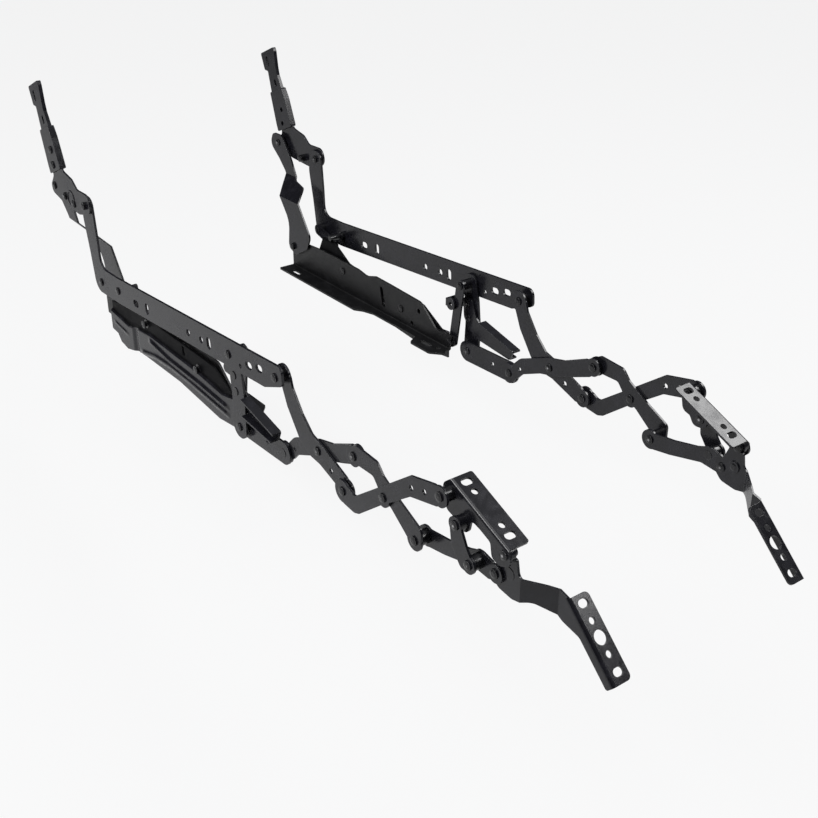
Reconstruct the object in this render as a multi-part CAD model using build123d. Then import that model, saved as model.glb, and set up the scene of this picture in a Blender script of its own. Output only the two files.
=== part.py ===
from build123d import *
import math
import os

# A matched pair of recliner mechanisms, footrest out and back upright.
# X points to the footrest, Y across the chair, Z up, in millimetres.
# A mechanism is drawn with s, the distance inwards from the seat plate's middle
# plane, in place of Y, and X and Z from a hole of the seat bar. It is then set
# down on the right, with the origin amid the rails' floor slots, and mirrored.

# Spacing of the pair and sheet sizes
SEAT_PLANE = 202.5
SHEET = 3.0
SEAT_SHEET = 3.5
RAIL_SHEET = 3.0
SUPPORT_WIDTH = 17.0

# Layers, as the middle plane of each sheet
S_TOGGLE = -4.0
S_SEAT = 0.0
S_CRANK = 4.6
S_LINK_D = 4.6
S_LINK_C = 8.2
S_STRAP = 8.2
S_LEVER = 8.2
S_LINK_A = 11.8
S_DRIVE = 11.8
S_REAR_SUPPORT = 11.8
S_LINK_B = 15.4
S_OUTER_PLATE = 18.9
S_OTTOMAN = 19.0
S_FRONT_SUPPORT = 21.5
S_REAR_LINK_TOP = 4.0
S_REAR_LINK_FOOT = 32.5
S_LINK_E = 24.5
S_FOOT = 28.1
S_RAIL = 28.0

# Pivots, as X and Z
SEAT_REAR = (-118.0, -5.5)
SEAT_CRANK = (275.3, 22.9)
SEAT_FRONT = (390.5, 35.6)
BACK_PIVOT = (-136.0, 111.0)
REAR_LINK_TOP = (-248.0, 114.5)
REAR_LINK_FOOT = (-165.6, -44.2)
REAR_SUPPORT_FOOT = (-69.1, -18.3)
FRONT_SUPPORT_FOOT = (261.3, -69.8)
CRANK_FOOT = (283.5, -81.4)
TAIL = (381.0, -78.0)
P1 = (462.2, -37.7)
P2 = (524.6, -60.1)
P3 = (542.9, -5.7)
P4 = (P3[0] + P2[0] - P1[0], P3[1] + P2[1] - P1[1])
P5 = (658.3, -57.9)
OTTOMAN_REAR = (705.3, 23.9)
STRAP_TOP = (726.8, -1.1)
STRAP_FOOT = (749.4, -38.2)
OTTOMAN_FRONT = (791.3, -6.5)
FOOT_PIVOT = (772.6, -42.4)

# Shoulder rivets
PIN_R = 4.0
PIN_FIT = 0.05
FACE_GAP = 0.15
HEAD_R = 5.8
HEAD_H = 1.8
BUSH_R = 8.8
STUB_GAP = 0.4
THIN_HEAD = 0.45

# Seat plate
SEAT_TILT = 4.6
BAR_TOP = 24.0
BAR_FOOT = -16.5
BAR_FRONT = 409.0
NOSE_CHAMFER = 44.0
BOLT_HOLE_R = 3.8
BAR_HOLE_R = 3.2
SLOT_LENGTH = 16.0
BAR_HOLES = [(166.0, 0.0), (203.0, 0.0), (307.0, -6.0)]
BAR_SLOTS = [(3.0, 0.0, 0.0), (39.0, 1.0, 90.0), (224.0, 1.0, 90.0), (329.0, 1.0, 0.0), (355.0, 5.0, 0.0)]
STUD_R = 4.5
STUD_AT = (-58.0, -0.5)
STUD_LENGTH = 27.0

# Base rail
RAIL_REAR = -175.0
RAIL_FRONT = 262.0
RAIL_TOP = -30.0
RAIL_FOOT = -84.0
FLANGE_REACH = 32.0
NARROW_REACH = 17.0
TAB_REACH = 35.0
BEND_R = 4.4
INNER_BEND_R = 1.4
RAIL_BEND_R = 2.9
REAR_SLOT_X = -138.0
FRONT_SLOT_X = 226.0
FLANGE_SLOT_R = 3.5
FLANGE_SLOT_IN = 20.0

# Outer rail plate
RIBS = [([(-112.0, -80.0), (-40.0, -72.0), (236.0, -76.0)], 9.0), ([(-100.0, -98.0), (-40.0, -88.0), (236.0, -94.0)], 9.0)]
RIB_HEIGHT = 1.6
RIB_WALL = 1.6

# Ottoman bracket
OTTOMAN_SLOPE = -22.6
OTTOMAN_BEND_REAR = (704.8, 40.0)
OTTOMAN_LENGTH = 100.0
OTTOMAN_FLANGE = 29.0

# Foot arm bracket
FOOT_JOGGLE = 25.0
FOOT_SLOPE = -43.5
FOOT_FLANGE = 26.0
FOOT_FLANGE_LENGTH = 96.0

# Opened pivots with a wide hole
REAR_LINK_PLAY = 0.8
REAR_SUPPORT_PLAY = 1.8

# Rear link
JOGGLE_TOP = 66.0
JOGGLE_FOOT = 36.0

# Trip lever
LEVER_TOP = [(304.0, -29.0), (381.0, -47.0)]
LEVER_FOOT = [(304.0, -56.0), (374.0, -62.5)]
LEVER_EDGE = -4.0
LEVER_WALL = 2.5
LEVER_RIVETS = [(277.0, -8.0), (280.0, -30.0)]
EYE_ARM = (250.0, -9.0)
EYE_AT = (259.0, -9.4)
EYE_R = 9.5
EYE_LAYER = 26.0

# Foot arm
FOOT_BEND = (851.0, -40.0)
FOOT_STOP = (791.0, -33.0)

# Back bracket
BACK_LEAN = 22.5
SLEEVE_FOOT = (-229.0, 140.0)
BRACKET_FRONT = 23.0
S_BRACKET = -3.0
POST_START = 47.0
SLIDE_FIT = 0.2
SLEEVE_RIVETS = [(-26.0, 12.0), (-18.0, 34.0)]
BOSS_AT = (-208.0, 107.6)
STOP_AT = (-179.0, 102.6)
EMBOSS_AT = (-187.0, 109.0)
EMBOSS_R = 13.0
SLEEVE_DEPTH = 46.0
SLEEVE_WIDTH = 10.0
SLEEVE_SHEET = 2.0
SLEEVE_TOP = 68.0
POST_LENGTH = 135.0
POST_SLOTS = [(-28.7, 118.0, 17.0, 3.2), (-20.0, 80.0, 13.0, 3.0)]


def at_layer(face, middle, thickness):
    """Sheet of a flat outline, centred on a layer."""
    plane = Plane.XZ.offset(-(middle + thickness / 2))
    return extrude(plane * face, thickness)


def disc(point, radius):
    return Pos(point[0], point[1]) * Circle(radius)


def slot(point, length, radius, angle):
    """Obround of a given overall length about a point."""
    return Pos(point[0], point[1]) * Rot(0, 0, angle) * SlotOverall(length, 2 * radius)


def bar(points, width):
    """Link outline: round-ended bars of one width from point to point."""
    face = None
    for start, end in zip(points, points[1:]):
        length = math.dist(start, end)
        angle = math.degrees(math.atan2(end[1] - start[1], end[0] - start[0]))
        middle = ((start[0] + end[0]) / 2, (start[1] + end[1]) / 2)
        piece = slot(middle, length + width, width / 2, angle)
        face = piece if face is None else face + piece
    return face


def rounded_corner(before, corner, after, radius):
    """Start, middle and end of the arc that rounds one corner."""
    to_before = Vector(*before) - Vector(*corner)
    to_after = Vector(*after) - Vector(*corner)
    half = math.radians(to_before.get_angle(to_after)) / 2
    setback = radius / math.tan(half)
    setback = min(setback, 0.49 * to_before.length, 0.49 * to_after.length)
    used = setback * math.tan(half)
    inwards = (to_before.normalized() + to_after.normalized()).normalized()
    start = Vector(*corner) + to_before.normalized() * setback
    end = Vector(*corner) + to_after.normalized() * setback
    middle = Vector(*corner) + inwards * (used / math.sin(half) - used)
    return start, middle, end


def outline(points, radii):
    """Closed outline with rounded corners."""
    edges = []
    count = len(points)
    corners = []
    for i in range(count):
        if radii[i] > 0:
            corners.append(rounded_corner(points[i - 1], points[i], points[(i + 1) % count], radii[i]))
        else:
            corners.append((Vector(*points[i]), None, Vector(*points[i])))
    for i in range(count):
        start, middle, end = corners[i]
        if middle is not None:
            edges.append(ThreePointArc(start, middle, end))
        edges.append(Line(end, corners[(i + 1) % count][0]))
    return make_face(edges)


def pin_hole(point):
    return disc(point, PIN_R + PIN_FIT)


def rod(point, start, end, radius):
    """Round bar along s."""
    return extrude(Plane.XZ.offset(-end) * disc(point, radius), end - start)


def rod_of(face, start, end):
    """Prism of a drawn outline along s."""
    return extrude(Plane.XZ.offset(-end) * face, end - start)


def bent(body, start, slope, length, outer):
    """Round the bend of a flange, outside by a cut and inside by a fill."""
    angle = math.radians(slope)
    direction = (math.cos(angle), 0, math.sin(angle))
    plane = Plane(origin=(start[0], outer, start[1]), x_dir=(0, 1, 0), z_dir=direction)
    over = BEND_R + 1.0
    corner = Pos(over / 2 - 1.0, 1.0 - over / 2) * Rectangle(over, over)
    corner -= Pos(BEND_R, -BEND_R) * Circle(BEND_R)
    deep = SHEET + INNER_BEND_R
    fill = Pos(deep - INNER_BEND_R / 2, INNER_BEND_R / 2 - deep) * Rectangle(INNER_BEND_R, INNER_BEND_R)
    fill -= Pos(deep, -deep) * Circle(INNER_BEND_R)
    body += extrude(plane * fill, length)
    return body - extrude(plane.offset(-2.0) * corner, length + 4.0)


def shoulder_rivet(
    point, outer, inner, outer_head=HEAD_H, inner_head=HEAD_H, shoulder=None, shoulder_r=BUSH_R
):
    """Rivet between two faces, with its heads and the shoulder that spaces the sheets."""
    start = outer - FACE_GAP if outer_head > 0 else outer
    end = inner + FACE_GAP if inner_head > 0 else inner
    body = rod(point, start, end, PIN_R)
    if outer_head > 0:
        body += rod(point, outer - outer_head, start, HEAD_R)
    if inner_head > 0:
        body += rod(point, end, inner + inner_head, HEAD_R)
    if shoulder:
        body += rod(point, shoulder[0] + FACE_GAP, shoulder[1] - FACE_GAP, shoulder_r)
    return body


def stub(point, outer, inner, outer_head=0.0, inner_head=0.0, radius=HEAD_R):
    """Short rivet that ends flush on the side of an opened pivot."""
    body = rod(point, outer, inner, PIN_R)
    if outer_head > 0:
        body += rod(point, outer - outer_head, outer - FACE_GAP, radius)
        body += rod(point, outer - FACE_GAP, outer, PIN_R)
    if inner_head > 0:
        body += rod(point, inner + FACE_GAP, inner + inner_head, radius)
        body += rod(point, inner, inner + FACE_GAP, PIN_R)
    return body


def outer_face(layer, thickness=SHEET):
    return layer - thickness / 2


def inner_face(layer, thickness=SHEET):
    return layer + thickness / 2


def on_bar(along, up):
    """Place on the seat bar, in its own tilted directions."""
    tilt = math.radians(SEAT_TILT)
    x = along * math.cos(tilt) - up * math.sin(tilt)
    z = along * math.sin(tilt) + up * math.cos(tilt)
    return (x, z)


def seat_plate():
    """Long bar with an upright arm at its rear and the seat box holes."""
    points = [
        (-137.0, -23.5),
        on_bar(-60.0, BAR_FOOT + 1.0),
        on_bar(BAR_FRONT - NOSE_CHAMFER, BAR_FOOT),
        on_bar(BAR_FRONT, -3.0),
        on_bar(BAR_FRONT, BAR_TOP - 2.0),
        on_bar(-60.0, BAR_TOP + 1.0),
        (-114.0, 19.0),
        (-116.0, 64.0),
        (-121.0, 125.0),
        (-152.0, 125.0),
        (-157.0, 88.0),
        (-147.0, 40.0),
    ]
    face = outline(points, [20, 20, 6, 8, 10, 30, 18, 60, 14, 13, 40, 60])
    for point in (SEAT_REAR, SEAT_CRANK, SEAT_FRONT, BACK_PIVOT, STUD_AT):
        face -= pin_hole(point)
    for along, up in BAR_HOLES:
        face -= disc(on_bar(along, up), BAR_HOLE_R)
    for along, up, turn in BAR_SLOTS:
        face -= slot(on_bar(along, up), SLOT_LENGTH, BOLT_HOLE_R, SEAT_TILT + turn)
    return [at_layer(face, S_SEAT, SEAT_SHEET)]


def seat_stud():
    """Inward stud with a shoulder, riveted through the seat plate."""
    face_in = inner_face(S_SEAT, SEAT_SHEET)
    face_out = outer_face(S_SEAT, SEAT_SHEET)
    body = rod(STUD_AT, face_out, face_in, PIN_R)
    body += rod(STUD_AT, face_out - HEAD_H, face_out, HEAD_R)
    body += rod(STUD_AT, face_in, face_in + 6.0, STUD_R + 2.0)
    body += rod(STUD_AT, face_in, face_in + STUD_LENGTH, STUD_R)
    return [body]


def seat_pins():
    """Shoulder rivets that the seat plate carries, with their bushes."""
    outer = outer_face(S_SEAT, SEAT_SHEET)
    inner = inner_face(S_SEAT, SEAT_SHEET)
    return [
        shoulder_rivet(
            SEAT_REAR, outer, inner_face(S_REAR_SUPPORT), shoulder=(inner, outer_face(S_REAR_SUPPORT))
        ),
        shoulder_rivet(
            SEAT_CRANK,
            outer,
            inner_face(S_FRONT_SUPPORT),
            shoulder=(inner_face(S_CRANK), outer_face(S_FRONT_SUPPORT)),
            shoulder_r=7.5,
        ),
        shoulder_rivet(
            SEAT_FRONT, outer, inner_face(S_LINK_A), shoulder=(inner, outer_face(S_LINK_A))
        ),
    ]


def base_rail():
    """Rail pressed from one sheet: upright web and an inward foot flange."""
    web = outline(
        [
            (RAIL_REAR, RAIL_FOOT),
            (RAIL_FRONT, RAIL_FOOT),
            (RAIL_FRONT, RAIL_FOOT + 16.0),
            (FRONT_SUPPORT_FOOT[0] + 8.0, FRONT_SUPPORT_FOOT[1] + 11.0),
            (FRONT_SUPPORT_FOOT[0] - 12.0, FRONT_SUPPORT_FOOT[1] + 11.0),
            (229.0, -62.0),
            (190.0, RAIL_TOP),
            (112.0, RAIL_TOP + 3.0),
            (72.0, RAIL_TOP + 4.0),
            (48.0, RAIL_TOP - 3.0),
            (24.0, RAIL_TOP + 1.0),
            (-80.0, RAIL_TOP + 2.0),
            (RAIL_REAR, RAIL_TOP - 4.0),
        ],
        [0, 0, 6, 8, 12, 10, 14, 30, 10, 20, 20, 40, 12],
    )
    web -= slot((91.3, -54.5), 34.0, 4.0, 104.0)
    web -= disc((186.0, -46.5), 4.0)
    web -= disc((169.0, -72.0), 3.5)
    for point in (REAR_LINK_FOOT, FRONT_SUPPORT_FOOT):
        web -= pin_hole(point)
    for point in rail_rivet_points():
        web -= pin_hole(point)
    body = at_layer(web, S_RAIL, RAIL_SHEET)
    inner = inner_face(S_RAIL, RAIL_SHEET) - RAIL_SHEET
    flange = outline(
        [
            (RAIL_REAR, inner),
            (RAIL_REAR, inner + FLANGE_REACH),
            (52.0, inner + FLANGE_REACH),
            (66.0, inner + NARROW_REACH + 6.0),
            (86.0, inner + NARROW_REACH),
            (196.0, inner + NARROW_REACH),
            (206.0, inner + TAB_REACH),
            (252.0, inner + TAB_REACH),
            (RAIL_FRONT + 6.0, inner + TAB_REACH - 14.0),
            (RAIL_FRONT + 6.0, inner + 15.0),
            (RAIL_FRONT, inner + 9.0),
            (RAIL_FRONT, inner),
        ],
        [0, 3, 6, 8, 8, 6, 6, 6, 4, 2, 2, 0],
    )
    flange -= slot((REAR_SLOT_X, inner + FLANGE_SLOT_IN), 24.0, FLANGE_SLOT_R, 0.0)
    flange -= slot((FRONT_SLOT_X, inner + FLANGE_SLOT_IN), 24.0, FLANGE_SLOT_R, 0.0)
    flange -= disc((250.0, inner + 15.0), 3.5)
    foot = extrude(Plane.XY.offset(RAIL_FOOT) * flange, RAIL_SHEET)
    body += foot
    return [bent_down(body, inner)]


def bent_down(body, outer):
    """Round the rail's bend, whose flange is its underside."""
    inside = Vertex((RAIL_REAR + RAIL_FRONT) / 2, outer + RAIL_SHEET, RAIL_FOOT + RAIL_SHEET)
    turned = fillet(body.edges().sort_by_distance(inside)[0], INNER_BEND_R)
    outside = Vertex((RAIL_REAR + RAIL_FRONT) / 2, outer, RAIL_FOOT)
    return fillet(turned.edges().sort_by_distance(outside)[0], RAIL_BEND_R)


def rail_rivet_points():
    return [(-20.0, -46.0), (140.0, -58.0)]


def outer_rail_plate():
    """Deep stamping outside the rail: a long panel with a raised rib."""
    panel = outline(
        [
            (-140.0, -55.0),
            (-144.0, -96.0),
            (-124.0, -98.0),
            (-114.0, -110.0),
            (-92.0, -113.0),
            (-40.0, -101.0),
            (84.0, -99.5),
            (200.0, -109.5),
            (247.0, -104.0),
            (247.0, -60.0),
            (212.0, -66.0),
            (150.0, -45.0),
            (126.0, -45.0),
            (100.0, -63.0),
            (14.0, -63.0),
            (-8.0, -30.0),
            (-50.0, -6.0),
            (-88.0, -6.0),
            (-100.0, -50.0),
        ],
        [8, 8, 8, 12, 10, 30, 60, 60, 8, 8, 20, 10, 10, 16, 20, 20, 12, 12, 12],
    )
    for point in [REAR_SUPPORT_FOOT] + rail_rivet_points():
        panel -= pin_hole(point)
    panel -= disc((-92.0, -62.0), 3.0)
    body = at_layer(panel, S_OUTER_PLATE, SHEET)
    for line, width in RIBS:
        rib = at_layer(bar(line, width), outer_face(S_OUTER_PLATE) - RIB_HEIGHT + SHEET / 2, SHEET)
        groove = at_layer(bar(line, width - 2 * RIB_WALL), inner_face(S_OUTER_PLATE) - RIB_HEIGHT + 1.0, 2.0)
        body = body + rib - groove
    return [body]


def rail_rivets():
    """Rivets and spacers that hold the outer plate to the rail, and the rail's pivots."""
    plate_in = inner_face(S_OUTER_PLATE)
    rail_out = outer_face(S_RAIL, RAIL_SHEET)
    rail_in = inner_face(S_RAIL, RAIL_SHEET)
    pieces = []
    for point in rail_rivet_points():
        pieces.append(
            shoulder_rivet(
                point,
                outer_face(S_OUTER_PLATE),
                rail_in,
                shoulder=(plate_in, rail_out),
                shoulder_r=7.0,
            )
        )
    link_in = inner_face(S_REAR_LINK_FOOT)
    pieces.append(shoulder_rivet(REAR_LINK_FOOT, rail_out, link_in, HEAD_H, 4.0))
    link_out, link_in = outer_face(S_REAR_SUPPORT), inner_face(S_REAR_SUPPORT)
    seat = (link_in, outer_face(S_OUTER_PLATE))
    pieces.append(shoulder_rivet(REAR_SUPPORT_FOOT, link_out, plate_in, shoulder=seat))
    link_out, link_in = outer_face(S_FRONT_SUPPORT), inner_face(S_FRONT_SUPPORT)
    pieces.append(shoulder_rivet(FRONT_SUPPORT_FOOT, link_out, rail_in, shoulder=(link_in, rail_out)))
    return pieces


def simple_link(points, width, layer, thickness=SHEET, extra_holes=()):
    """Flat link with a pivot hole at each given point."""
    face = bar(points, width)
    for point in points:
        face -= pin_hole(point)
    for point, radius in extra_holes:
        face -= disc(point, radius)
    return [at_layer(face, layer, thickness)]


def joggled(face, levels, plane, reach):
    """Sheet of a flat outline, stepped sideways along the given levels."""
    half = SHEET / 2
    near_side = [(along, s - half) for along, s in levels]
    far_side = [(along, s + half) for along, s in reversed(levels)]
    section = make_face(Polyline(*near_side, *far_side, close=True))
    wave = extrude(plane * section, reach)
    low = min(s for along, s in levels) - SHEET
    high = max(s for along, s in levels) + SHEET
    prism = extrude(Plane.XZ.offset(-high) * face, high - low)
    return prism & wave


def rear_link():
    """Pressed link, joggled inwards from the toggle to the inside of the rail."""
    top_x, top_z = REAR_LINK_TOP
    foot_x, foot_z = REAR_LINK_FOOT
    face = outline(
        [
            (top_x - 25.0, top_z - 6.0),
            (top_x - 16.0, top_z + 15.0),
            (top_x + 12.0, top_z + 15.0),
            (top_x + 38.0, top_z - 18.0),
            (top_x + 56.0, top_z - 53.0),
            (top_x + 90.0, top_z - 58.0),
            (top_x + 102.0, top_z - 79.0),
            (foot_x + 54.0, foot_z + 30.0),
            (foot_x + 44.0, foot_z + 6.0),
            (foot_x + 6.0, foot_z - 15.0),
            (foot_x - 15.0, foot_z - 4.0),
            (foot_x - 10.0, foot_z + 42.0),
            (top_x + 34.0, top_z - 66.0),
            (top_x + 19.0, top_z - 44.0),
            (top_x + 2.0, top_z - 27.0),
        ],
        [14, 12, 12, 30, 12, 10, 12, 14, 14, 12, 12, 40, 20, 12, 20],
    )
    face -= pin_hole(REAR_LINK_TOP)
    face -= disc(REAR_LINK_FOOT, PIN_R + REAR_LINK_PLAY)
    levels = [
        (top_z + 30.0, S_REAR_LINK_TOP),
        (JOGGLE_TOP, S_REAR_LINK_TOP),
        (JOGGLE_FOOT, S_REAR_LINK_FOOT),
        (foot_z - 30.0, S_REAR_LINK_FOOT),
    ]
    plane = Plane(origin=(0, 0, 0), x_dir=(0, 0, 1), z_dir=(-1, 0, 0))
    return [joggled(face, levels, plane, 320.0)]


def rear_support_link():
    face = bar([SEAT_REAR, REAR_SUPPORT_FOOT], SUPPORT_WIDTH + 1.0)
    face -= pin_hole(SEAT_REAR)
    face -= disc(REAR_SUPPORT_FOOT, PIN_R + REAR_SUPPORT_PLAY)
    return [at_layer(face, S_REAR_SUPPORT, SHEET)]


def front_support_link():
    return simple_link([FRONT_SUPPORT_FOOT, SEAT_CRANK], SUPPORT_WIDTH, S_FRONT_SUPPORT)


def back_toggle():
    """Toggle plate between the back pivot, the rear link and the back bracket."""
    top_x, top_z = REAR_LINK_TOP
    piv_x, piv_z = BACK_PIVOT
    face = outline(
        [
            (top_x - 20.0, top_z - 10.0),
            back_place(-SLEEVE_DEPTH + 4.0, -2.0),
            back_place(-SLEEVE_DEPTH + 10.0, 42.0),
            back_place(-8.0, 42.0),
            back_place(-1.0, -2.0),
            (piv_x - 42.0, piv_z + 30.0),
            (piv_x - 26.0, piv_z + 18.0),
            (piv_x + 14.0, piv_z + 19.0),
            (piv_x + 21.0, piv_z - 7.0),
            (piv_x - 8.0, piv_z - 16.0),
            (piv_x - 25.0, piv_z - 20.0),
            (piv_x - 78.0, piv_z - 17.0),
        ],
        [12, 8, 4, 4, 8, 12, 12, 14, 14, 14, 30, 40],
    )
    for point in (REAR_LINK_TOP, BACK_PIVOT, BOSS_AT, STOP_AT):
        face -= pin_hole(point)
    for depth, along in SLEEVE_RIVETS:
        face -= pin_hole(back_place(depth, along))
    body = at_layer(face, S_TOGGLE, SHEET)
    ring = disc(EMBOSS_AT, EMBOSS_R) - disc(EMBOSS_AT, EMBOSS_R - 2.5) - disc(STOP_AT, HEAD_R + 0.5)
    return [body + at_layer(ring, outer_face(S_TOGGLE) - 0.4, 1.2)]


def back_place(depth, along):
    """Place on the back bracket: depth forwards of its front web, height along it."""
    lean = math.radians(BACK_LEAN)
    reach = BRACKET_FRONT + depth
    x = SLEEVE_FOOT[0] + reach * math.cos(lean) - along * math.sin(lean)
    z = SLEEVE_FOOT[1] + reach * math.sin(lean) + along * math.cos(lean)
    return (x, z)


def bracket_channel(front, rear, width):
    """Channel open to the rear, from its front and rear lines of depth and height."""
    places = [back_place(*point) for point in front + rear]
    block = at_layer(outline(places, [3] * len(places)), S_BRACKET, width)
    back = [(-2 * SLEEVE_DEPTH, front[-1][1] + 1.0), (-2 * SLEEVE_DEPTH, front[0][1] - 1.0)]
    shifted = [(depth - SLEEVE_SHEET, along) for depth, along in front]
    shifted[0] = (shifted[0][0], front[0][1] - 1.0)
    shifted[-1] = (shifted[-1][0], front[-1][1] + 1.0)
    inside = [back_place(*point) for point in shifted + back]
    return block - at_layer(outline(inside, [0] * len(inside)), S_BRACKET, width - 2 * SLEEVE_SHEET)


def back_sleeve():
    """Lower channel of the back bracket, riveted to the toggle's tang."""
    front = [(0.0, 2.0), (0.0, 50.0), (-3.5, SLEEVE_TOP)]
    rear = [(-SLEEVE_DEPTH + 5.0, SLEEVE_TOP), (-SLEEVE_DEPTH, 14.0), (-SLEEVE_DEPTH, 2.0)]
    body = bracket_channel(front, rear, SLEEVE_WIDTH)
    for depth, along in SLEEVE_RIVETS:
        body -= rod(back_place(depth, along), S_BRACKET - SLEEVE_WIDTH, S_BRACKET + SLEEVE_WIDTH, PIN_R + PIN_FIT)
    return [body]


def back_post():
    """Upper channel, nested in the sleeve, with a narrow neck, a deep head and a keyhole."""
    width = SLEEVE_WIDTH - 2 * SLEEVE_SHEET - 2 * SLIDE_FIT
    setback = SLEEVE_SHEET + SLIDE_FIT
    front = [
        (-setback, POST_START),
        (-setback, 50.0),
        (-3.5 - setback, SLEEVE_TOP),
        (-8.5, 90.0),
        (-6.5, 103.0),
        (0.0, 128.0),
        (0.0, POST_LENGTH),
    ]
    rear = [
        (2.0 - SLEEVE_DEPTH, POST_LENGTH),
        (2.0 - SLEEVE_DEPTH, 107.0),
        (-35.0, 103.0),
        (7.0 - SLEEVE_DEPTH, 72.0),
        (4.0 - SLEEVE_DEPTH, POST_START),
    ]
    body = bracket_channel(front, rear, width)
    for depth, along, length, radius in POST_SLOTS:
        place = back_place(depth, along)
        body -= rod_of(slot(place, length, radius, 90 + BACK_LEAN), -30.0, 30.0)
    return [body]


def back_fasteners():
    """Pivots, rivets, boss and stop of the toggle."""
    outer = outer_face(S_TOGGLE)
    inner = inner_face(S_TOGGLE)
    pieces = [
        shoulder_rivet(BACK_PIVOT, outer, inner_face(S_SEAT, SEAT_SHEET), 4.0, 3.0),
        shoulder_rivet(
            REAR_LINK_TOP,
            outer,
            inner_face(S_REAR_LINK_TOP),
            shoulder=(inner, outer_face(S_REAR_LINK_TOP)),
        ),
        shoulder_rivet(BOSS_AT, outer, inner, 3.0, 0),
        shoulder_rivet(STOP_AT, outer, inner, HEAD_H, 9.0),
    ]
    for depth, along in SLEEVE_RIVETS:
        place = back_place(depth, along)
        pieces.append(shoulder_rivet(place, S_BRACKET - SLEEVE_WIDTH / 2, inner))
    return pieces


def crank():
    """Front crank that hangs from the seat plate."""
    face = outline(
        [
            (262.0, 38.0),
            (290.0, 38.0),
            (297.5, 0.0),
            (302.0, -40.0),
            (300.0, -97.0),
            (267.0, -97.0),
            (270.0, -40.0),
            (266.0, 0.0),
        ],
        [13, 13, 60, 60, 15, 15, 60, 40],
    )
    for point in (SEAT_CRANK, CRANK_FOOT):
        face -= pin_hole(point)
    for point in LEVER_RIVETS:
        face -= pin_hole(point)
    return [at_layer(face, S_CRANK, SHEET)]


def trip_lever():
    """Channel-section lever on the crank, with a spring eye turned inwards."""
    face = outline(
        [
            (267.0, 2.0),
            (288.0, 2.0),
            (298.0, -24.0),
            LEVER_TOP[0],
            LEVER_TOP[1],
            LEVER_FOOT[1],
            LEVER_FOOT[0],
            (282.0, -46.0),
            (270.0, -30.0),
        ],
        [7, 10, 12, 0, 3, 3, 0, 14, 14],
    )
    body = at_layer(face, S_LEVER, SHEET)
    for line, inwards in ((LEVER_TOP, -LEVER_WALL), (LEVER_FOOT, LEVER_WALL)):
        (start_x, start_z), (end_x, end_z) = line
        strip = Polyline(
            (start_x, start_z), (end_x, end_z), (end_x, end_z + inwards), (start_x, start_z + inwards), close=True
        )
        body += rod_of(make_face(strip), LEVER_EDGE, outer_face(S_LEVER) + 1.0)
    high = EYE_LAYER + SHEET / 2
    body += rod_of(Pos(*EYE_ARM) * Rectangle(SHEET, 12.0), outer_face(S_LEVER), high)
    body += at_layer(bar([EYE_ARM, (272.0, -9.0)], 12.0), S_LEVER, SHEET)
    eye = bar([EYE_ARM, EYE_AT], 12.0) + disc(EYE_AT, EYE_R) - disc(EYE_AT, 3.4)
    eye -= Pos(EYE_ARM[0] - 6.0 - SHEET / 2, EYE_ARM[1]) * Rectangle(12.0, 14.0)
    body += at_layer(eye, EYE_LAYER, SHEET)
    for point in LEVER_RIVETS:
        body -= rod(point, outer_face(S_LEVER) - 1.0, inner_face(S_LEVER) + 1.0, PIN_R + PIN_FIT)
    return [body]


def crank_rivets():
    """Rivets of the crank: the drive link's pivot and the lever's fixings."""
    outer = outer_face(S_CRANK)
    pieces = [
        shoulder_rivet(
            CRANK_FOOT,
            outer,
            inner_face(S_DRIVE),
            shoulder=(inner_face(S_CRANK), outer_face(S_DRIVE)),
        ),
    ]
    for point in LEVER_RIVETS:
        pieces.append(shoulder_rivet(point, outer, inner_face(S_LEVER), 1.0, 1.2))
    return pieces


def drive_link():
    """Wide link from the crank's foot to the tail of the lower link."""
    face = bar([CRANK_FOOT, TAIL], 32.0)
    face -= pin_hole(CRANK_FOOT)
    face -= pin_hole(TAIL)
    face -= disc((342.0, -80.0), 3.2)
    return [at_layer(face, S_DRIVE, SHEET)]


def shaped_link(points, bosses, pins, layer, holes=()):
    """Pressed link: an outline with round bosses, pivot holes and plain holes."""
    face = outline(points, [8] * len(points))
    for point, radius in bosses:
        face += disc(point, radius)
    for point in pins:
        face -= pin_hole(point)
    for point, radius in holes:
        face -= disc(point, radius)
    return [at_layer(face, layer, SHEET)]


def link_a():
    """Long link, bowed down from the seat bar's front and out to the cross link."""
    points = [
        (SEAT_FRONT[0] - 14.0, SEAT_FRONT[1] + 6.0),
        (SEAT_FRONT[0] + 14.0, SEAT_FRONT[1] + 8.0),
        (410.0, 26.0),
        (430.0, -1.0),
        (P1[0] - 12.0, P1[1] + 18.0),
        (P1[0] + 12.0, P1[1] + 11.0),
        (P2[0] + 4.0, P2[1] + 12.0),
        (P2[0] - 6.0, P2[1] - 11.0),
        (P1[0] + 4.0, P1[1] - 16.0),
        (P1[0] - 16.0, P1[1] - 14.0),
        (422.0, -38.0),
        (397.0, -4.0),
    ]
    bosses = [(SEAT_FRONT, 15.0), (P2, 12.5)]
    return shaped_link(points, bosses, (SEAT_FRONT, P1, P2), S_LINK_A, [((490.8, -51.5), 3.6)])


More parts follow.
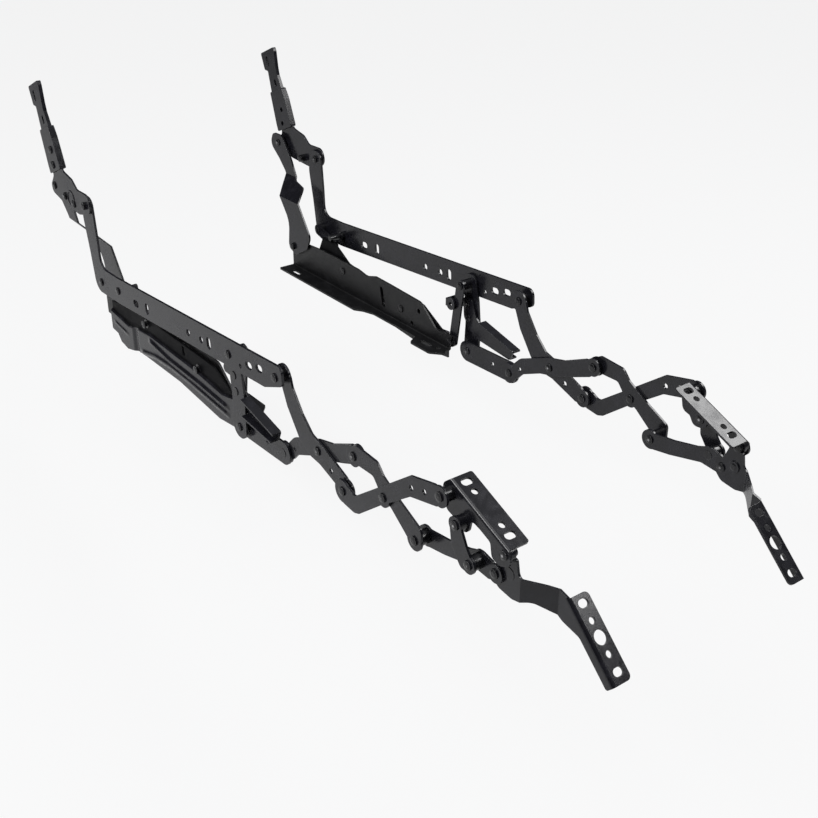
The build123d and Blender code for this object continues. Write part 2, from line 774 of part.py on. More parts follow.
def link_b():
    """Tail link, from the drive link past the crossing to the upper cross link."""
    points = [
        (TAIL[0] + 8.0, TAIL[1] + 17.0),
        (TAIL[0] + 22.0, TAIL[1] + 31.0),
        (434.0, -34.0),
        (P1[0] - 3.0, P1[1] + 14.0),
        (490.0, -16.0),
        (P3[0] - 8.0, P3[1] + 10.0),
        (P3[0] + 4.0, P3[1] - 12.0),
        (512.0, -32.0),
        (P1[0] + 10.0, P1[1] - 9.0),
        (P1[0] - 16.0, P1[1] - 15.0),
        (TAIL[0] + 30.0, TAIL[1] + 10.0),
        (TAIL[0] + 10.0, TAIL[1] - 11.0),
    ]
    bosses = [(TAIL, 15.0), (P3, 12.5), (P1, 12.5)]
    return shaped_link(points, bosses, (TAIL, P1, P3), S_LINK_B, [((404.0, -63.0), 3.0)])


def link_c():
    """Cross link, shouldered over its middle pivot."""
    points = [
        (P3[0] - 12.0, P3[1] + 7.0),
        (P3[0] + 6.0, P3[1] + 17.0),
        (P4[0] - 16.0, P4[1] + 37.0),
        (P4[0] - 4.0, P4[1] + 24.0),
        (P4[0] + 29.0, P4[1] + 6.0),
        (P5[0] + 12.0, P5[1] + 19.0),
        (P5[0] + 12.0, P5[1] - 6.0),
        (P5[0] - 10.0, P5[1] - 3.0),
        (P4[0] + 12.0, P4[1] - 10.0),
        (P4[0] - 12.0, P4[1] + 3.0),
        (P4[0] - 23.0, P4[1] + 16.0),
        (P3[0] + 10.0, P3[1] - 7.0),
    ]
    bosses = [(P3, 13.0), (P4, 11.5), (P5, 12.5)]
    return shaped_link(points, bosses, (P3, P4, P5), S_LINK_C)


def link_d():
    """Cranked cross link: low at its rear, rising to the ottoman bracket."""
    points = [
        (P2[0] - 6.0, P2[1] - 14.5),
        (P2[0] + 24.0, P2[1] - 17.5),
        (P2[0] + 34.0, P2[1] - 14.0),
        (P4[0] - 5.0, P4[1] - 13.0),
        (656.0, -1.0),
        (OTTOMAN_REAR[0] + 2.0, OTTOMAN_REAR[1] - 12.5),
        (OTTOMAN_REAR[0] - 2.0, OTTOMAN_REAR[1] + 12.5),
        (655.0, 25.0),
        (P4[0] - 4.0, P4[1] + 12.5),
        (P2[0] + 24.0, P2[1] + 5.0),
        (P2[0] + 6.0, P2[1] + 14.0),
    ]
    bosses = [(P2, 15.0), (P4, 12.0), (OTTOMAN_REAR, 12.5)]
    holes = [((657.4, 10.8), 3.5), ((679.9, 17.1), 3.5)]
    return shaped_link(points, bosses, (P2, P4, OTTOMAN_REAR), S_LINK_D, holes)


def link_e():
    """Lower link to the foot arm, with the strap's pivot near its end."""
    points = [
        (P5[0] - 2.0, P5[1] - 13.0),
        (692.0, -64.5),
        (STRAP_FOOT[0] - 9.0, STRAP_FOOT[1] - 14.0),
        (FOOT_PIVOT[0] - 4.0, FOOT_PIVOT[1] - 12.0),
        (FOOT_PIVOT[0] + 2.0, FOOT_PIVOT[1] + 11.0),
        (STRAP_FOOT[0] + 2.0, STRAP_FOOT[1] + 12.0),
        (STRAP_FOOT[0] - 18.0, STRAP_FOOT[1] + 4.0),
        (696.0, -42.5),
        (P5[0] - 2.0, P5[1] + 10.0),
    ]
    bosses = [(P5, 13.0), (STRAP_FOOT, 11.5), (FOOT_PIVOT, 11.5)]
    return shaped_link(points, bosses, (P5, STRAP_FOOT, FOOT_PIVOT), S_LINK_E)


def strap():
    """Short strap, bowed towards the seat."""
    points = [
        (STRAP_TOP[0] - 9.0, STRAP_TOP[1] + 2.0),
        (STRAP_TOP[0] - 5.0, STRAP_TOP[1] - 26.0),
        (STRAP_FOOT[0] - 12.0, STRAP_FOOT[1] - 9.0),
        (STRAP_FOOT[0] + 2.0, STRAP_FOOT[1] - 10.0),
        (STRAP_FOOT[0] + 9.0, STRAP_FOOT[1] + 2.0),
        (STRAP_FOOT[0] - 3.0, STRAP_FOOT[1] + 18.0),
        (STRAP_TOP[0] + 9.0, STRAP_TOP[1] + 2.0),
    ]
    bosses = [(STRAP_TOP, 10.0), (STRAP_FOOT, 10.5)]
    return shaped_link(points, bosses, (STRAP_TOP, STRAP_FOOT), S_STRAP) + strap_pins()


def along_slope(start, slope, distance, aside=0.0):
    """Point at a distance along a sloping line, and aside from it."""
    angle = math.radians(slope)
    x = start[0] + distance * math.cos(angle) - aside * math.sin(angle)
    z = start[1] + distance * math.sin(angle) + aside * math.cos(angle)
    return (x, z)


def sloping_flange(start, slope, length, outer, reach, corner, cuts):
    """Flange turned inwards along a sloping line, with its holes cut."""
    face = outline(
        [(0.0, outer), (length, outer), (length, outer + reach), (0.0, outer + reach)],
        [0, 0, corner, corner],
    )
    for distance, across, size, radius in cuts:
        if size > 2 * radius:
            face -= Pos(distance, across) * Rot(0, 0, 90) * SlotOverall(size, 2 * radius)
        else:
            face -= Pos(distance, across) * Circle(radius)
    angle = math.radians(slope)
    direction = (math.cos(angle), 0, math.sin(angle))
    normal = (-math.sin(angle), 0, math.cos(angle))
    plane = Plane(origin=(start[0], 0, start[1]), x_dir=direction, z_dir=normal)
    return extrude(plane * face, -SHEET)


def ottoman_bracket():
    """Bracket with a hanging web and an inward flange for the footrest board."""
    rear, slope, length = OTTOMAN_BEND_REAR, OTTOMAN_SLOPE, OTTOMAN_LENGTH
    web = outline(
        [
            rear,
            along_slope(rear, slope, length),
            (OTTOMAN_FRONT[0] + 12.0, OTTOMAN_FRONT[1] - 9.0),
            (OTTOMAN_FRONT[0] - 5.0, OTTOMAN_FRONT[1] - 16.0),
            (OTTOMAN_FRONT[0] - 18.0, OTTOMAN_FRONT[1] - 14.0),
            (OTTOMAN_FRONT[0] - 21.0, OTTOMAN_FRONT[1] + 4.0),
            (754.0, 4.0),
            (STRAP_TOP[0] + 13.0, STRAP_TOP[1] + 9.0),
            (STRAP_TOP[0] + 9.0, STRAP_TOP[1] - 10.0),
            (STRAP_TOP[0] - 9.0, STRAP_TOP[1] - 12.0),
            (STRAP_TOP[0] - 16.0, STRAP_TOP[1] - 1.0),
            (OTTOMAN_REAR[0] - 6.0, OTTOMAN_REAR[1] - 23.0),
            (OTTOMAN_REAR[0] - 13.0, OTTOMAN_REAR[1] + 6.0),
        ],
        [0, 0, 9, 9, 8, 6, 10, 6, 9, 9, 5, 9, 10],
    )
    for point in (OTTOMAN_REAR, STRAP_TOP, OTTOMAN_FRONT):
        web -= pin_hole(point)
    body = at_layer(web, S_OTTOMAN, SHEET)
    outer = outer_face(S_OTTOMAN)
    across = outer + 15.0
    cuts = [
        (10.0, across, 14.0, 4.5),
        (24.0, across, 0.0, 4.0),
        (71.0, across, 0.0, 4.0),
        (85.0, across, 14.0, 4.5),
    ]
    body += sloping_flange(rear, slope, length, outer, OTTOMAN_FLANGE, 3.0, cuts)
    return [bent(body, rear, slope, length, outer)] + ottoman_pins()


def foot_arm():
    """Foot arm, joggled inwards, with a flange for the foot board."""
    web = outline(
        [
            (OTTOMAN_FRONT[0] - 10.0, OTTOMAN_FRONT[1] - 3.0),
            (OTTOMAN_FRONT[0] + 9.5, OTTOMAN_FRONT[1] - 5.0),
            (OTTOMAN_FRONT[0] + 13.0, OTTOMAN_FRONT[1] - 24.0),
            (828.0, -34.0),
            FOOT_BEND,
            along_slope(FOOT_BEND, FOOT_SLOPE, FOOT_FLANGE_LENGTH),
            along_slope(FOOT_BEND, FOOT_SLOPE, FOOT_FLANGE_LENGTH, -13.0),
            (870.0, -76.0),
            (845.0, -71.0),
            (818.0, -57.0),
            (796.0, -62.0),
            (FOOT_PIVOT[0] + 2.0, FOOT_PIVOT[1] - 17.0),
            (FOOT_PIVOT[0] - 13.0, FOOT_PIVOT[1] - 2.0),
            (FOOT_PIVOT[0] + 2.0, FOOT_PIVOT[1] + 16.0),
        ],
        [4, 3, 8, 14, 0, 0, 3, 10, 14, 12, 10, 12, 12, 12],
    )
    web += disc(OTTOMAN_FRONT, 6.5)
    for point in (OTTOMAN_FRONT, FOOT_PIVOT, FOOT_STOP):
        web -= pin_hole(point)
    inner_layer = S_FOOT + FOOT_JOGGLE
    levels = [
        (FOOT_PIVOT[0] - 40.0, S_FOOT),
        (808.0, S_FOOT),
        (838.0, inner_layer),
        (960.0, inner_layer),
    ]
    plane = Plane(origin=(0, 0, -200.0), x_dir=(1, 0, 0), z_dir=(0, 0, 1))
    body = joggled(web, levels, plane, 300.0)
    outer = outer_face(inner_layer)
    across = outer + 14.5
    cuts = [
        (10.0, across, 13.0, 4.5),
        (29.0, across, 0.0, 4.0),
        (47.0, across, 0.0, 8.0),
        (65.0, across, 0.0, 4.0),
        (84.0, across, 13.0, 4.5),
    ]
    body += sloping_flange(
        FOOT_BEND, FOOT_SLOPE, FOOT_FLANGE_LENGTH, outer, FOOT_FLANGE, 6.0, cuts
    )
    return [bent(body, FOOT_BEND, FOOT_SLOPE, FOOT_FLANGE_LENGTH, outer)] + foot_pins()


def pivot(point, outer_layer, inner_layer):
    """Shoulder rivet between the links of two layers, spaced where they are apart."""
    start, end = inner_face(outer_layer), outer_face(inner_layer)
    gap = (start, end) if end - start > 1.0 else None
    return shoulder_rivet(point, outer_face(outer_layer), inner_face(inner_layer), shoulder=gap)


def link_a_pins():
    return [pivot(P1, S_LINK_A, S_LINK_B), pivot(P2, S_LINK_D, S_LINK_A)]


def link_b_pins():
    return [
        pivot(P3, S_LINK_C, S_LINK_B),
        stub(TAIL, outer_face(S_LINK_B), inner_face(S_LINK_B), inner_head=HEAD_H),
    ]


def link_d_pins():
    return [pivot(P4, S_LINK_D, S_LINK_C), pivot(OTTOMAN_REAR, S_LINK_D, S_OTTOMAN)]


def link_e_pins():
    """Pivot to the cross link, and the stubs of the strap and the foot arm."""
    outer, inner = outer_face(S_LINK_E), inner_face(S_LINK_E)
    strap_stub = stub(STRAP_FOOT, outer, inner, inner_head=THIN_HEAD)
    strap_stub += rod(STRAP_FOOT, inner_face(S_STRAP) + STUB_GAP, outer - FACE_GAP, BUSH_R)
    strap_stub += rod(STRAP_FOOT, outer - FACE_GAP, outer, PIN_R)
    return [
        pivot(P5, S_LINK_C, S_LINK_E),
        strap_stub,
        stub(FOOT_PIVOT, outer, inner, outer_head=HEAD_H),
    ]


def strap_pins():
    return [stub(STRAP_FOOT, outer_face(S_STRAP), inner_face(S_STRAP), outer_head=HEAD_H)]


def ottoman_pins():
    return [pivot(STRAP_TOP, S_STRAP, S_OTTOMAN), pivot(OTTOMAN_FRONT, S_OTTOMAN, S_FOOT)]


def foot_pins():
    """Stub of the lower foot pivot and the stop bolt."""
    outer, inner = outer_face(S_FOOT), inner_face(S_FOOT)
    return [
        stub(FOOT_PIVOT, outer, inner, inner_head=HEAD_H),
        stub(FOOT_STOP, outer, inner, outer_head=THIN_HEAD, inner_head=HEAD_H, radius=7.5),
    ]


def drive_pins():
    return [stub(TAIL, outer_face(S_DRIVE), inner_face(S_DRIVE), outer_head=THIN_HEAD)]


SUB_PARTS = {
    "base_rail": base_rail,
    "outer_rail_plate": outer_rail_plate,
    "rail_rivets": rail_rivets,
    "rear_support_link": rear_support_link,
    "front_support_link": front_support_link,
    "seat_plate": seat_plate,
    "seat_stud": seat_stud,
    "seat_pins": seat_pins,
    "back_toggle": back_toggle,
    "back_sleeve": back_sleeve,
    "back_post": back_post,
    "back_fasteners": back_fasteners,
    "rear_link": rear_link,
    "crank": crank,
    "trip_lever": trip_lever,
    "crank_rivets": crank_rivets,
    "drive_link": drive_link,
    "drive_stub_rivet": drive_pins,
    "long_link": link_a,
    "long_link_rivets": link_a_pins,
    "tail_link": link_b,
    "tail_link_rivets": link_b_pins,
    "upper_cross_link": link_c,
    "cranked_link": link_d,
    "cranked_link_rivets": link_d_pins,
    "lower_link": link_e,
    "lower_link_rivets": link_e_pins,
    "strap": strap,
    "ottoman_bracket": ottoman_bracket,
    "foot_arm": foot_arm,
}


def main():
    """Write each sub-part once for the right side and mirrored for the left."""
    os.makedirs("parts", exist_ok=True)
    slots_middle = (REAR_SLOT_X + FRONT_SLOT_X) / 2
    place = Pos(-slots_middle, -SEAT_PLANE, -RAIL_FOOT)
    for name, make in SUB_PARTS.items():
        solids = make()
        right = [place * solid for solid in solids]
        left = [mirror(solid, about=Plane.XZ) for solid in right]
        for side, shapes in (("right", right), ("left", left)):
            whole = shapes[0] if len(shapes) == 1 else Compound(children=shapes)
            export_step(whole, f"parts/{side}_{name}.step")


main()
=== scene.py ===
"""Looks of a pair of recliner mechanisms: black enamel, peened rivets, studio."""

import math

import bmesh
import bpy
import numpy as np
from mathutils import Matrix, Vector


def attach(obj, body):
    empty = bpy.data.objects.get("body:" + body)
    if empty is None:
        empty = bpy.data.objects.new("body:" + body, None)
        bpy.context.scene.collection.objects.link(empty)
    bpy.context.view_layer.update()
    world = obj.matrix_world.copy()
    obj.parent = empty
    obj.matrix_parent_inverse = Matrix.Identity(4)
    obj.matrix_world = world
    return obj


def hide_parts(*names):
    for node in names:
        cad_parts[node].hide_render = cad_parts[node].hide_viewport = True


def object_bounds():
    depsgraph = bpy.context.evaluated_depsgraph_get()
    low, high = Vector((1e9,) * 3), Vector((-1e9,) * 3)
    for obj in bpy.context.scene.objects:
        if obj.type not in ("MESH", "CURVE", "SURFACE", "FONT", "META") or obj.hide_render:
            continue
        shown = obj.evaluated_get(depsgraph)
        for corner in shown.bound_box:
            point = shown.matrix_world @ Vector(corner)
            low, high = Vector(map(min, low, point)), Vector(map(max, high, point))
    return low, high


bl_info = {
    "name": "Recliner mechanism looks",
    "version": (1, 0, 0),
    "blender": (4, 5, 0),
    "location": "3D View > Sidebar > Recliner",
    "description": "Enamel, rivets and studio for a pair of recliner mechanisms",
    "category": "Object",
}

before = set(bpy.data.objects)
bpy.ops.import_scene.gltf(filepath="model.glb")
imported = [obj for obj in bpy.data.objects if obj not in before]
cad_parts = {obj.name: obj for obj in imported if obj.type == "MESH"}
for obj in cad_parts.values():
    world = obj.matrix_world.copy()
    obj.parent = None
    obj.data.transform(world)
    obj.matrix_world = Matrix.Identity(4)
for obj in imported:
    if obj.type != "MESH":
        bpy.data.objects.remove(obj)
CAD_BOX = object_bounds()
MM = 0.001

# Each mechanism is drawn as in the part, in millimetres: X and Z from a hole of the
# seat bar, and s, the distance inwards from the seat plate's middle plane
SIDES = ((1, "right"), (-1, "left"))
SEAT_PLANE = 202.5
ORIGIN_X = 44.0
ORIGIN_Z = -84.0

# Sheets, and their layers as the middle plane of each sheet
SHEET = 3.0
SEAT_SHEET = 3.5
LAYER_GAP = 0.6
LAYER_STEP = SHEET + LAYER_GAP
S_SEAT = 0.0
S_TOGGLE = -(SEAT_SHEET + SHEET) / 2 - 0.75
S_REAR_LINK_TOP = (SEAT_SHEET + SHEET) / 2 + 0.75
S_CRANK = (SEAT_SHEET + SHEET) / 2 + 1.35
S_LINK_C = S_CRANK + LAYER_STEP
S_LINK_A = S_CRANK + 2 * LAYER_STEP
S_LINK_B = S_CRANK + 3 * LAYER_STEP
S_OTTOMAN = S_CRANK + 4 * LAYER_STEP
S_OUTER_PLATE = S_OTTOMAN - 0.1
S_FRONT_SUPPORT = S_OTTOMAN + 2.5
S_LINK_E = S_OTTOMAN + 5.5
S_FOOT = S_LINK_E + LAYER_STEP
S_RAIL = S_OUTER_PLATE + 9.1
S_REAR_LINK_FOOT = S_RAIL + 4.5

# Rivets and pivots, as X and Z in the drawing; P1 to P5 join the footrest's links
SEAT_REAR = (-118.0, -5.5)
SEAT_CRANK = (275.3, 22.9)
SEAT_FRONT = (390.5, 35.6)
STUD_AT = (-58.0, -0.5)
BACK_PIVOT = (-136.0, 111.0)
REAR_LINK_TOP = (-248.0, 114.5)
SLEEVE_LOW = (-236.4, 149.9)
SLEEVE_HIGH = (-237.4, 173.3)
BOSS_AT = (-208.0, 107.6)
STOP_AT = (-179.0, 102.6)
CRANK_FOOT = (283.5, -81.4)
LEVER_HIGH = (277.0, -8.0)
LEVER_LOW = (280.0, -30.0)
TAIL = (381.0, -78.0)
P1 = (462.2, -37.7)
P2 = (524.6, -60.1)
P3 = (542.9, -5.7)
P4 = (P3[0] + P2[0] - P1[0], P3[1] + P2[1] - P1[1])
P5 = (658.3, -57.9)
OTTOMAN_REAR = (705.3, 23.9)
OTTOMAN_FRONT = (791.3, -6.5)
STRAP_TOP = (726.8, -1.1)
STRAP_FOOT = (749.4, -38.2)
FOOT_PIVOT = (772.6, -42.4)
FOOT_STOP = (791.0, -33.0)
RAIL_RIVET_REAR = (-20.0, -46.0)
RAIL_RIVET_FRONT = (140.0, -58.0)
REAR_LINK_FOOT = (-165.6, -44.2)
REAR_SUPPORT_FOOT = (-69.1, -18.3)
FRONT_SUPPORT_FOOT = (261.3, -69.8)

# Height of a rivet's head and of those that differ, and s of the sleeve's outer face
HEAD = 1.8
BACK_HEAD = 4.0
BACK_END = 3.0
BOSS = 3.0
STOP_BOLT = 9.0
LEVER_HEAD = 1.2
REAR_LINK_HEAD = 4.0
SLEEVE_FACE = -8.0

# Spun crown of a rivet, in metres: its rise, and its dimple's depth and width. The
# inmost ring is a share of the one before it.
CROWN_RISE = 0.0009
CROWN_POWER = 2.4
DIMPLE = 0.0004
DIMPLE_WIDTH = 0.0012
INMOST_RING = 0.45

# Outer plate: its sheet, the s of its band and of its recess, X of its ends, and the
# drawn lines of its foot, of the brow over the band, and of its top
PLATE_SHEET = 2.4
PLATE_FACE = S_OUTER_PLATE - SHEET / 2
PLATE_RECESS = 21.3
PLATE_REAR = -143.0
PLATE_FRONT = 247.0
PLATE_FOOT = (
    (-143, -96), (-124, -98), (-114, -109), (-92, -113), (-40, -101), (84, -99.5), (200, -109.5),
    (247, -104),
)
PLATE_BROW = (
    (-143, -66), (-110, -69), (-80, -72), (-45, -65), (-5, -61), (60, -62), (136, -63), (212, -69),
    (247, -62),
)
PLATE_TOP = (
    (-143, -50), (-104, -42), (-86, -7), (-52, -7), (-10, -31), (30, -36), (190, -36), (235, -60),
    (247, -61),
)

# Beads of the band: line, height, half width, and X of the rear and front ends. Then
# how far they fade, the groove across the band, and the height of the step at the brow.
BEADS = (
    (((-2, -68), (57, -75), (148, -77), (236, -82)), 3.2, 6.5, -12, 232),
    (((-36, -97), (10, -88), (60, -85), (120, -86), (236, -93)), 2.6, 6.5, -44, 232),
    (((-140, -79), (-76, -86)), 1.6, 5.0, -136, -80),
)
BEAD_FADE = 12.0
GROOVE_X = -57.0
GROOVE_HALF = 12.0
GROOVE_DEPTH = 2.6
GROOVE_OVER_BROW = 2.0
BROW_STEP = 5.0

# Window of the recess: X of its rear and front, and its foot and top as shares of the
# height between the brow and the top, which are also two of the recess's rows
WINDOW_X = (93.0, 101.0)
WINDOW_ROWS = (0.42, 0.86)
RECESS_ROWS = (0.04, 0.1, 0.16, 0.25, WINDOW_ROWS[0], 0.55, 0.7, WINDOW_ROWS[1], 0.93, 1.0)

# Seat plate: the bar's tilt in degrees, and its ends and edges along and across it
BAR_TILT = 4.6
BAR_REAR = -60.0
BAR_FRONT = 409.0
BAR_FOOT = -16.5
BAR_TOP = 24.0
NOSE_CHAMFER = 44.0
PIVOT_HOLE = 4.1
SEAT_PIVOTS = (SEAT_REAR, SEAT_CRANK, SEAT_FRONT, BACK_PIVOT, STUD_AT)

# Openings of the bar: place along and across it, length, radius, and turn in degrees
SEAT_OPENINGS = (
    (3.0, 0.0, 17.0, 5.4, 0.0),
    (39.0, 1.0, 17.0, 5.2, 90.0),
    (166.0, 0.0, 10.0, 4.9, 0.0),
    (203.0, 0.0, 10.0, 4.9, 0.0),
    (224.0, 1.0, 17.0, 5.2, 90.0),
    (307.0, -6.0, 6.4, 3.2, 0.0),
    (329.0, 1.0, 16.0, 5.0, 0.0),
    (355.0, 5.0, 16.0, 5.0, 0.0),
)

# Finish: depth of the orange peel in metres, coarse and fine, how much lighter and
# duller a smudge is, what sets the rivets apart, and the recess's wear and the low specular of its painted
# shade
PEEL = 0.0003
FINE_PEEL = 0.00012
SMUDGE_LIGHTER = 1.9
SMUDGE_DULLER = 0.10
RIVET_SMOOTHER = 0.06
RIVET_WEAR = 2.0
RECESS_WEAR = 0.1
PAINTED_SHADE_SPECULAR = 0.05

# Ends of the names of the nodes that are rivets
RIVET_NODES = ("pins", "rivets", "rivet", "fasteners", "stud")

# Backdrop and floor as the camera sees them, the share of the floor's look that is this
# glow, and the colour of the room's light
BACKDROP = (0.93, 0.932, 0.935, 1.0)
FLOOR_GLOW = (0.950, 0.951, 0.953, 1.0)
FLOOR_GLOW_SHARE = 0.92
ROOM_COLOUR = (0.96, 0.97, 1.0, 1.0)

# Lamps, in metres: name, place, aim, width and height, and the setting of the power
MIDDLE = (0.35, 0.0, 0.1)
FOOTREST = (0.75, 0.0, 0.1)
LAMPS = (
    ("overhead", (0.4, -0.5, 2.7), MIDDLE, (2.2, 2.0), "key_power"),
    ("back_softbox", (1.35, 1.75, 1.85), FOOTREST, (2.4, 0.55), "back_power"),
    ("side_softbox", (-0.1, -2.4, 2.3), MIDDLE, (2.2, 0.9), "side_power"),
)

# Camera, solved from the photograph: metres for its place and reach, degrees for its
# turns, and millimetres for its lens and sensor
CAMERA_AT = (1.4640, -0.8469, 0.7632)
CAMERA_AZIMUTH = 52.848
CAMERA_ELEVATION = 28.201
CAMERA_ROLL = 0.149
CAMERA_LENS = 52.142
CAMERA_SENSOR = 36.0
CAMERA_REACH = 50.0


class PaintSettings(bpy.types.PropertyGroup):
    """Colours and wear of the painted steel, and the darker black that paints shade on the rails and the
    plates' recess.
    """

    enamel: bpy.props.FloatVectorProperty(
        name="Enamel",
        description="Colour of the black enamel",
        subtype="COLOR",
        size=3,
        min=0.0,
        max=1.0,
        default=(0.006, 0.006, 0.008),
    )
    rivet: bpy.props.FloatVectorProperty(
        name="Rivets",
        description="Colour of the blackened rivets",
        subtype="COLOR",
        size=3,
        min=0.0,
        max=1.0,
        default=(0.006, 0.006, 0.007),
    )
    # Painted shade: the rails and the outer plates' recess get this darker black, which paints in the shade
    # of the channel under the seat bar.
    rail: bpy.props.FloatVectorProperty(
        name="Rail",
        description="Colour of the duller black of the rails and the outer plates' recess",
        subtype="COLOR",
        size=3,
        min=0.0,
        max=1.0,
        default=(0.003, 0.003, 0.0035),
    )
    rail_roughness: bpy.props.FloatProperty(
        name="Rail roughness",
        description="Roughness of the duller black",
        subtype="FACTOR",
        min=0.0,
        max=1.0,
        default=0.42,
    )
    bare: bpy.props.FloatVectorProperty(
        name="Bare steel",
        description="Colour of steel where the enamel is worn off",
        subtype="COLOR",
        size=3,
        min=0.0,
        max=1.0,
        default=(0.42, 0.42, 0.43),
    )
    crown_radius: bpy.props.FloatProperty(
        name="Crown radius",
        description="Radius of the spun crown on each rivet's end",
        unit="LENGTH",
        min=0.0,
        default=0.0050,
    )
    enamel_roughness: bpy.props.FloatProperty(
        name="Enamel roughness",
        description="Roughness of clean enamel",
        subtype="FACTOR",
        min=0.0,
        max=1.0,
        default=0.20,
    )
    edge_wear: bpy.props.FloatProperty(
        name="Edge wear",
        description="How much of each sharp edge has lost its enamel",
        subtype="FACTOR",
        min=0.0,
        max=1.0,
        default=0.25,
    )


class StudioSettings(bpy.types.PropertyGroup):
    """Floor and lamps."""

    floor_size: bpy.props.FloatProperty(
        name="Floor size",
        description="Side of the square floor",
        unit="LENGTH",
        min=1.0,
        default=14.0,
    )
    floor_drop: bpy.props.FloatProperty(
        name="Floor drop",
        description="Depth of the floor under the photographed pose, so that the folded footrest clears it",
        unit="LENGTH",
        min=0.0,
        default=0.165,
    )
    floor_colour: bpy.props.FloatVectorProperty(
        name="Floor",
        description="Colour of the floor where the lamps light it",
        subtype="COLOR",
        size=3,
        min=0.0,
        max=1.0,
        default=(0.58, 0.58, 0.58),
    )
    key_power: bpy.props.FloatProperty(
        name="Key light",
        description="Power of the large overhead lamp in watts",
        unit="POWER",
        min=0.0,
        default=34.0,
    )
    back_power: bpy.props.FloatProperty(
        name="Back softbox",
        description="Power of the long softbox behind the mechanism in watts",
        unit="POWER",
        min=0.0,
        default=52.0,
    )
    side_power: bpy.props.FloatProperty(
        name="Side softbox",
        description="Power of the softbox at the camera's left in watts",
        unit="POWER",
        min=0.0,
        default=90.0,
    )
    world_strength: bpy.props.FloatProperty(
        name="Room light",
        description="Strength of the room's light overhead",
        min=0.0,
        default=0.55,
    )


def put_in(name, data):
    """New object in the scene, at the origin."""
    made = bpy.data.objects.new(name, data)
    bpy.context.scene.collection.objects.link(made)
    return made


def add(tree, kind, place, sockets=(), **values):
    """New node with its properties set, and then its sockets by name or number."""
    node = tree.nodes.new(kind)
    node.location = place
    for name, value in values.items():
        setattr(node, name, value)
    for socket, value in dict(sockets).items():
        node.inputs[socket].default_value = value
    return node


def link(tree, source, output, target, socket):
    """Link a node's output to another node's input."""
    tree.links.new(source.outputs[output], target.inputs[socket])


def cleared(owner, output_kind, place):
    """Emptied node tree of a material or world, with its output."""
    owner.use_nodes = True
    tree = owner.node_tree
    tree.nodes.clear()
    return tree, add(tree, output_kind, place)


def new_group(name, numbers, outputs):
    """Empty node group with number inputs, and outputs of the kinds given."""
    group = bpy.data.node_groups.new(name, "ShaderNodeTree")
    for label, value in numbers:
        socket = group.interface.new_socket(label, in_out="INPUT", socket_type="NodeSocketFloat")
        socket.default_value = value
    for label, kind in outputs:
        group.interface.new_socket(label, in_out="OUTPUT", socket_type=kind)
    return group


def shared_group(name, maker):
    """Node group made once and shared by every material."""
    found = bpy.data.node_groups.get(name)
    return found if found else maker(name)


def grain_group(name):
    """Fine orange peel, drift and smudges of the enamel, from Object coordinates."""
    number = "NodeSocketFloat"
    group = new_group(
        name,
        (("Peel size", 900.0), ("Drift size", 9.0), ("Drift", 0.2)),
        (("Height", number), ("Drift", number), ("Smudge", number)),
    )
    inside = add(group, "NodeGroupInput", (-900, 0))
    outside = add(group, "NodeGroupOutput", (500, 0))
    coords = add(group, "ShaderNodeTexCoord", (-900, 300))
    peel = add(group, "ShaderNodeTexNoise", (-500, 300), {"Detail": 3.0})
    drift = add(group, "ShaderNodeTexNoise", (-500, 0), {"Detail": 4.0, "Roughness": 0.55})
    spread = {"Scale": 55.0, "Detail": 6.0, "Distortion": 0.6}
    smudge = add(group, "ShaderNodeTexNoise", (-500, -300), spread)
    for node in (peel, drift, smudge):
        link(group, coords, "Object", node, "Vector")
    link(group, inside, "Peel size", peel, "Scale")
    link(group, inside, "Drift size", drift, "Scale")
    centre = add(group, "ShaderNodeMath", (-250, 0), {1: 0.5}, operation="SUBTRACT")
    scaled = add(group, "ShaderNodeMath", (-50, 0), operation="MULTIPLY")
    link(group, drift, "Fac", centre, 0)
    link(group, centre, 0, scaled, 0)
    link(group, inside, "Drift", scaled, 1)
    spots = add(group, "ShaderNodeMapRange", (-250, -300), {"From Min": 0.45, "From Max": 0.75})
    link(group, smudge, "Fac", spots, "Value")
    link(group, peel, "Fac", outside, "Height")
    link(group, scaled, 0, outside, "Drift")
    link(group, spots, "Result", outside, "Smudge")
    return group


def wear_group(name):
    """Mask of worn edges: where the rounded normal leaves the flat one, broken by noise."""
    group = new_group(
        name,
        (("Width", 0.0006), ("Amount", 0.25)),
        (("Mask", "NodeSocketFloat"), ("Normal", "NodeSocketVector")),
    )
    inside = add(group, "NodeGroupInput", (-1100, 0))
    outside = add(group, "NodeGroupOutput", (600, 0))
    rounded = add(group, "ShaderNodeBevel", (-800, 100), samples=6)
    flat = add(group, "ShaderNodeNewGeometry", (-800, -100))
    dot = add(group, "ShaderNodeVectorMath", (-550, 0), operation="DOT_PRODUCT")
    edge = add(group, "ShaderNodeMapRange", (-350, 0), {"From Min": 0.995, "From Max": 0.86})
    coords = add(group, "ShaderNodeTexCoord", (-1100, -350))
    noise = add(group, "ShaderNodeTexNoise", (-800, -350), {"Scale": 140.0, "Detail": 5.0})
    patches = add(group, "ShaderNodeMapRange", (-550, -350), {"From Min": 0.52, "From Max": 0.66})
    both = add(group, "ShaderNodeMath", (-100, 0), operation="MULTIPLY")
    amount = add(group, "ShaderNodeMath", (200, 0), operation="MULTIPLY")
    link(group, inside, "Width", rounded, "Radius")
    link(group, rounded, "Normal", dot, 0)
    link(group, flat, "Normal", dot, 1)
    link(group, dot, "Value", edge, "Value")
    link(group, coords, "Object", noise, "Vector")
    link(group, noise, "Fac", patches, "Value")
    link(group, edge, "Result", both, 0)
    link(group, patches, "Result", both, 1)
    link(group, both, 0, amount, 0)
    link(group, inside, "Amount", amount, 1)
    link(group, amount, 0, outside, "Mask")
    link(group, rounded, "Normal", outside, "Normal")
    return group


def principled(material):
    """Principled shader of a material."""
    return next(node for node in material.node_tree.nodes if node.type == "BSDF_PRINCIPLED")


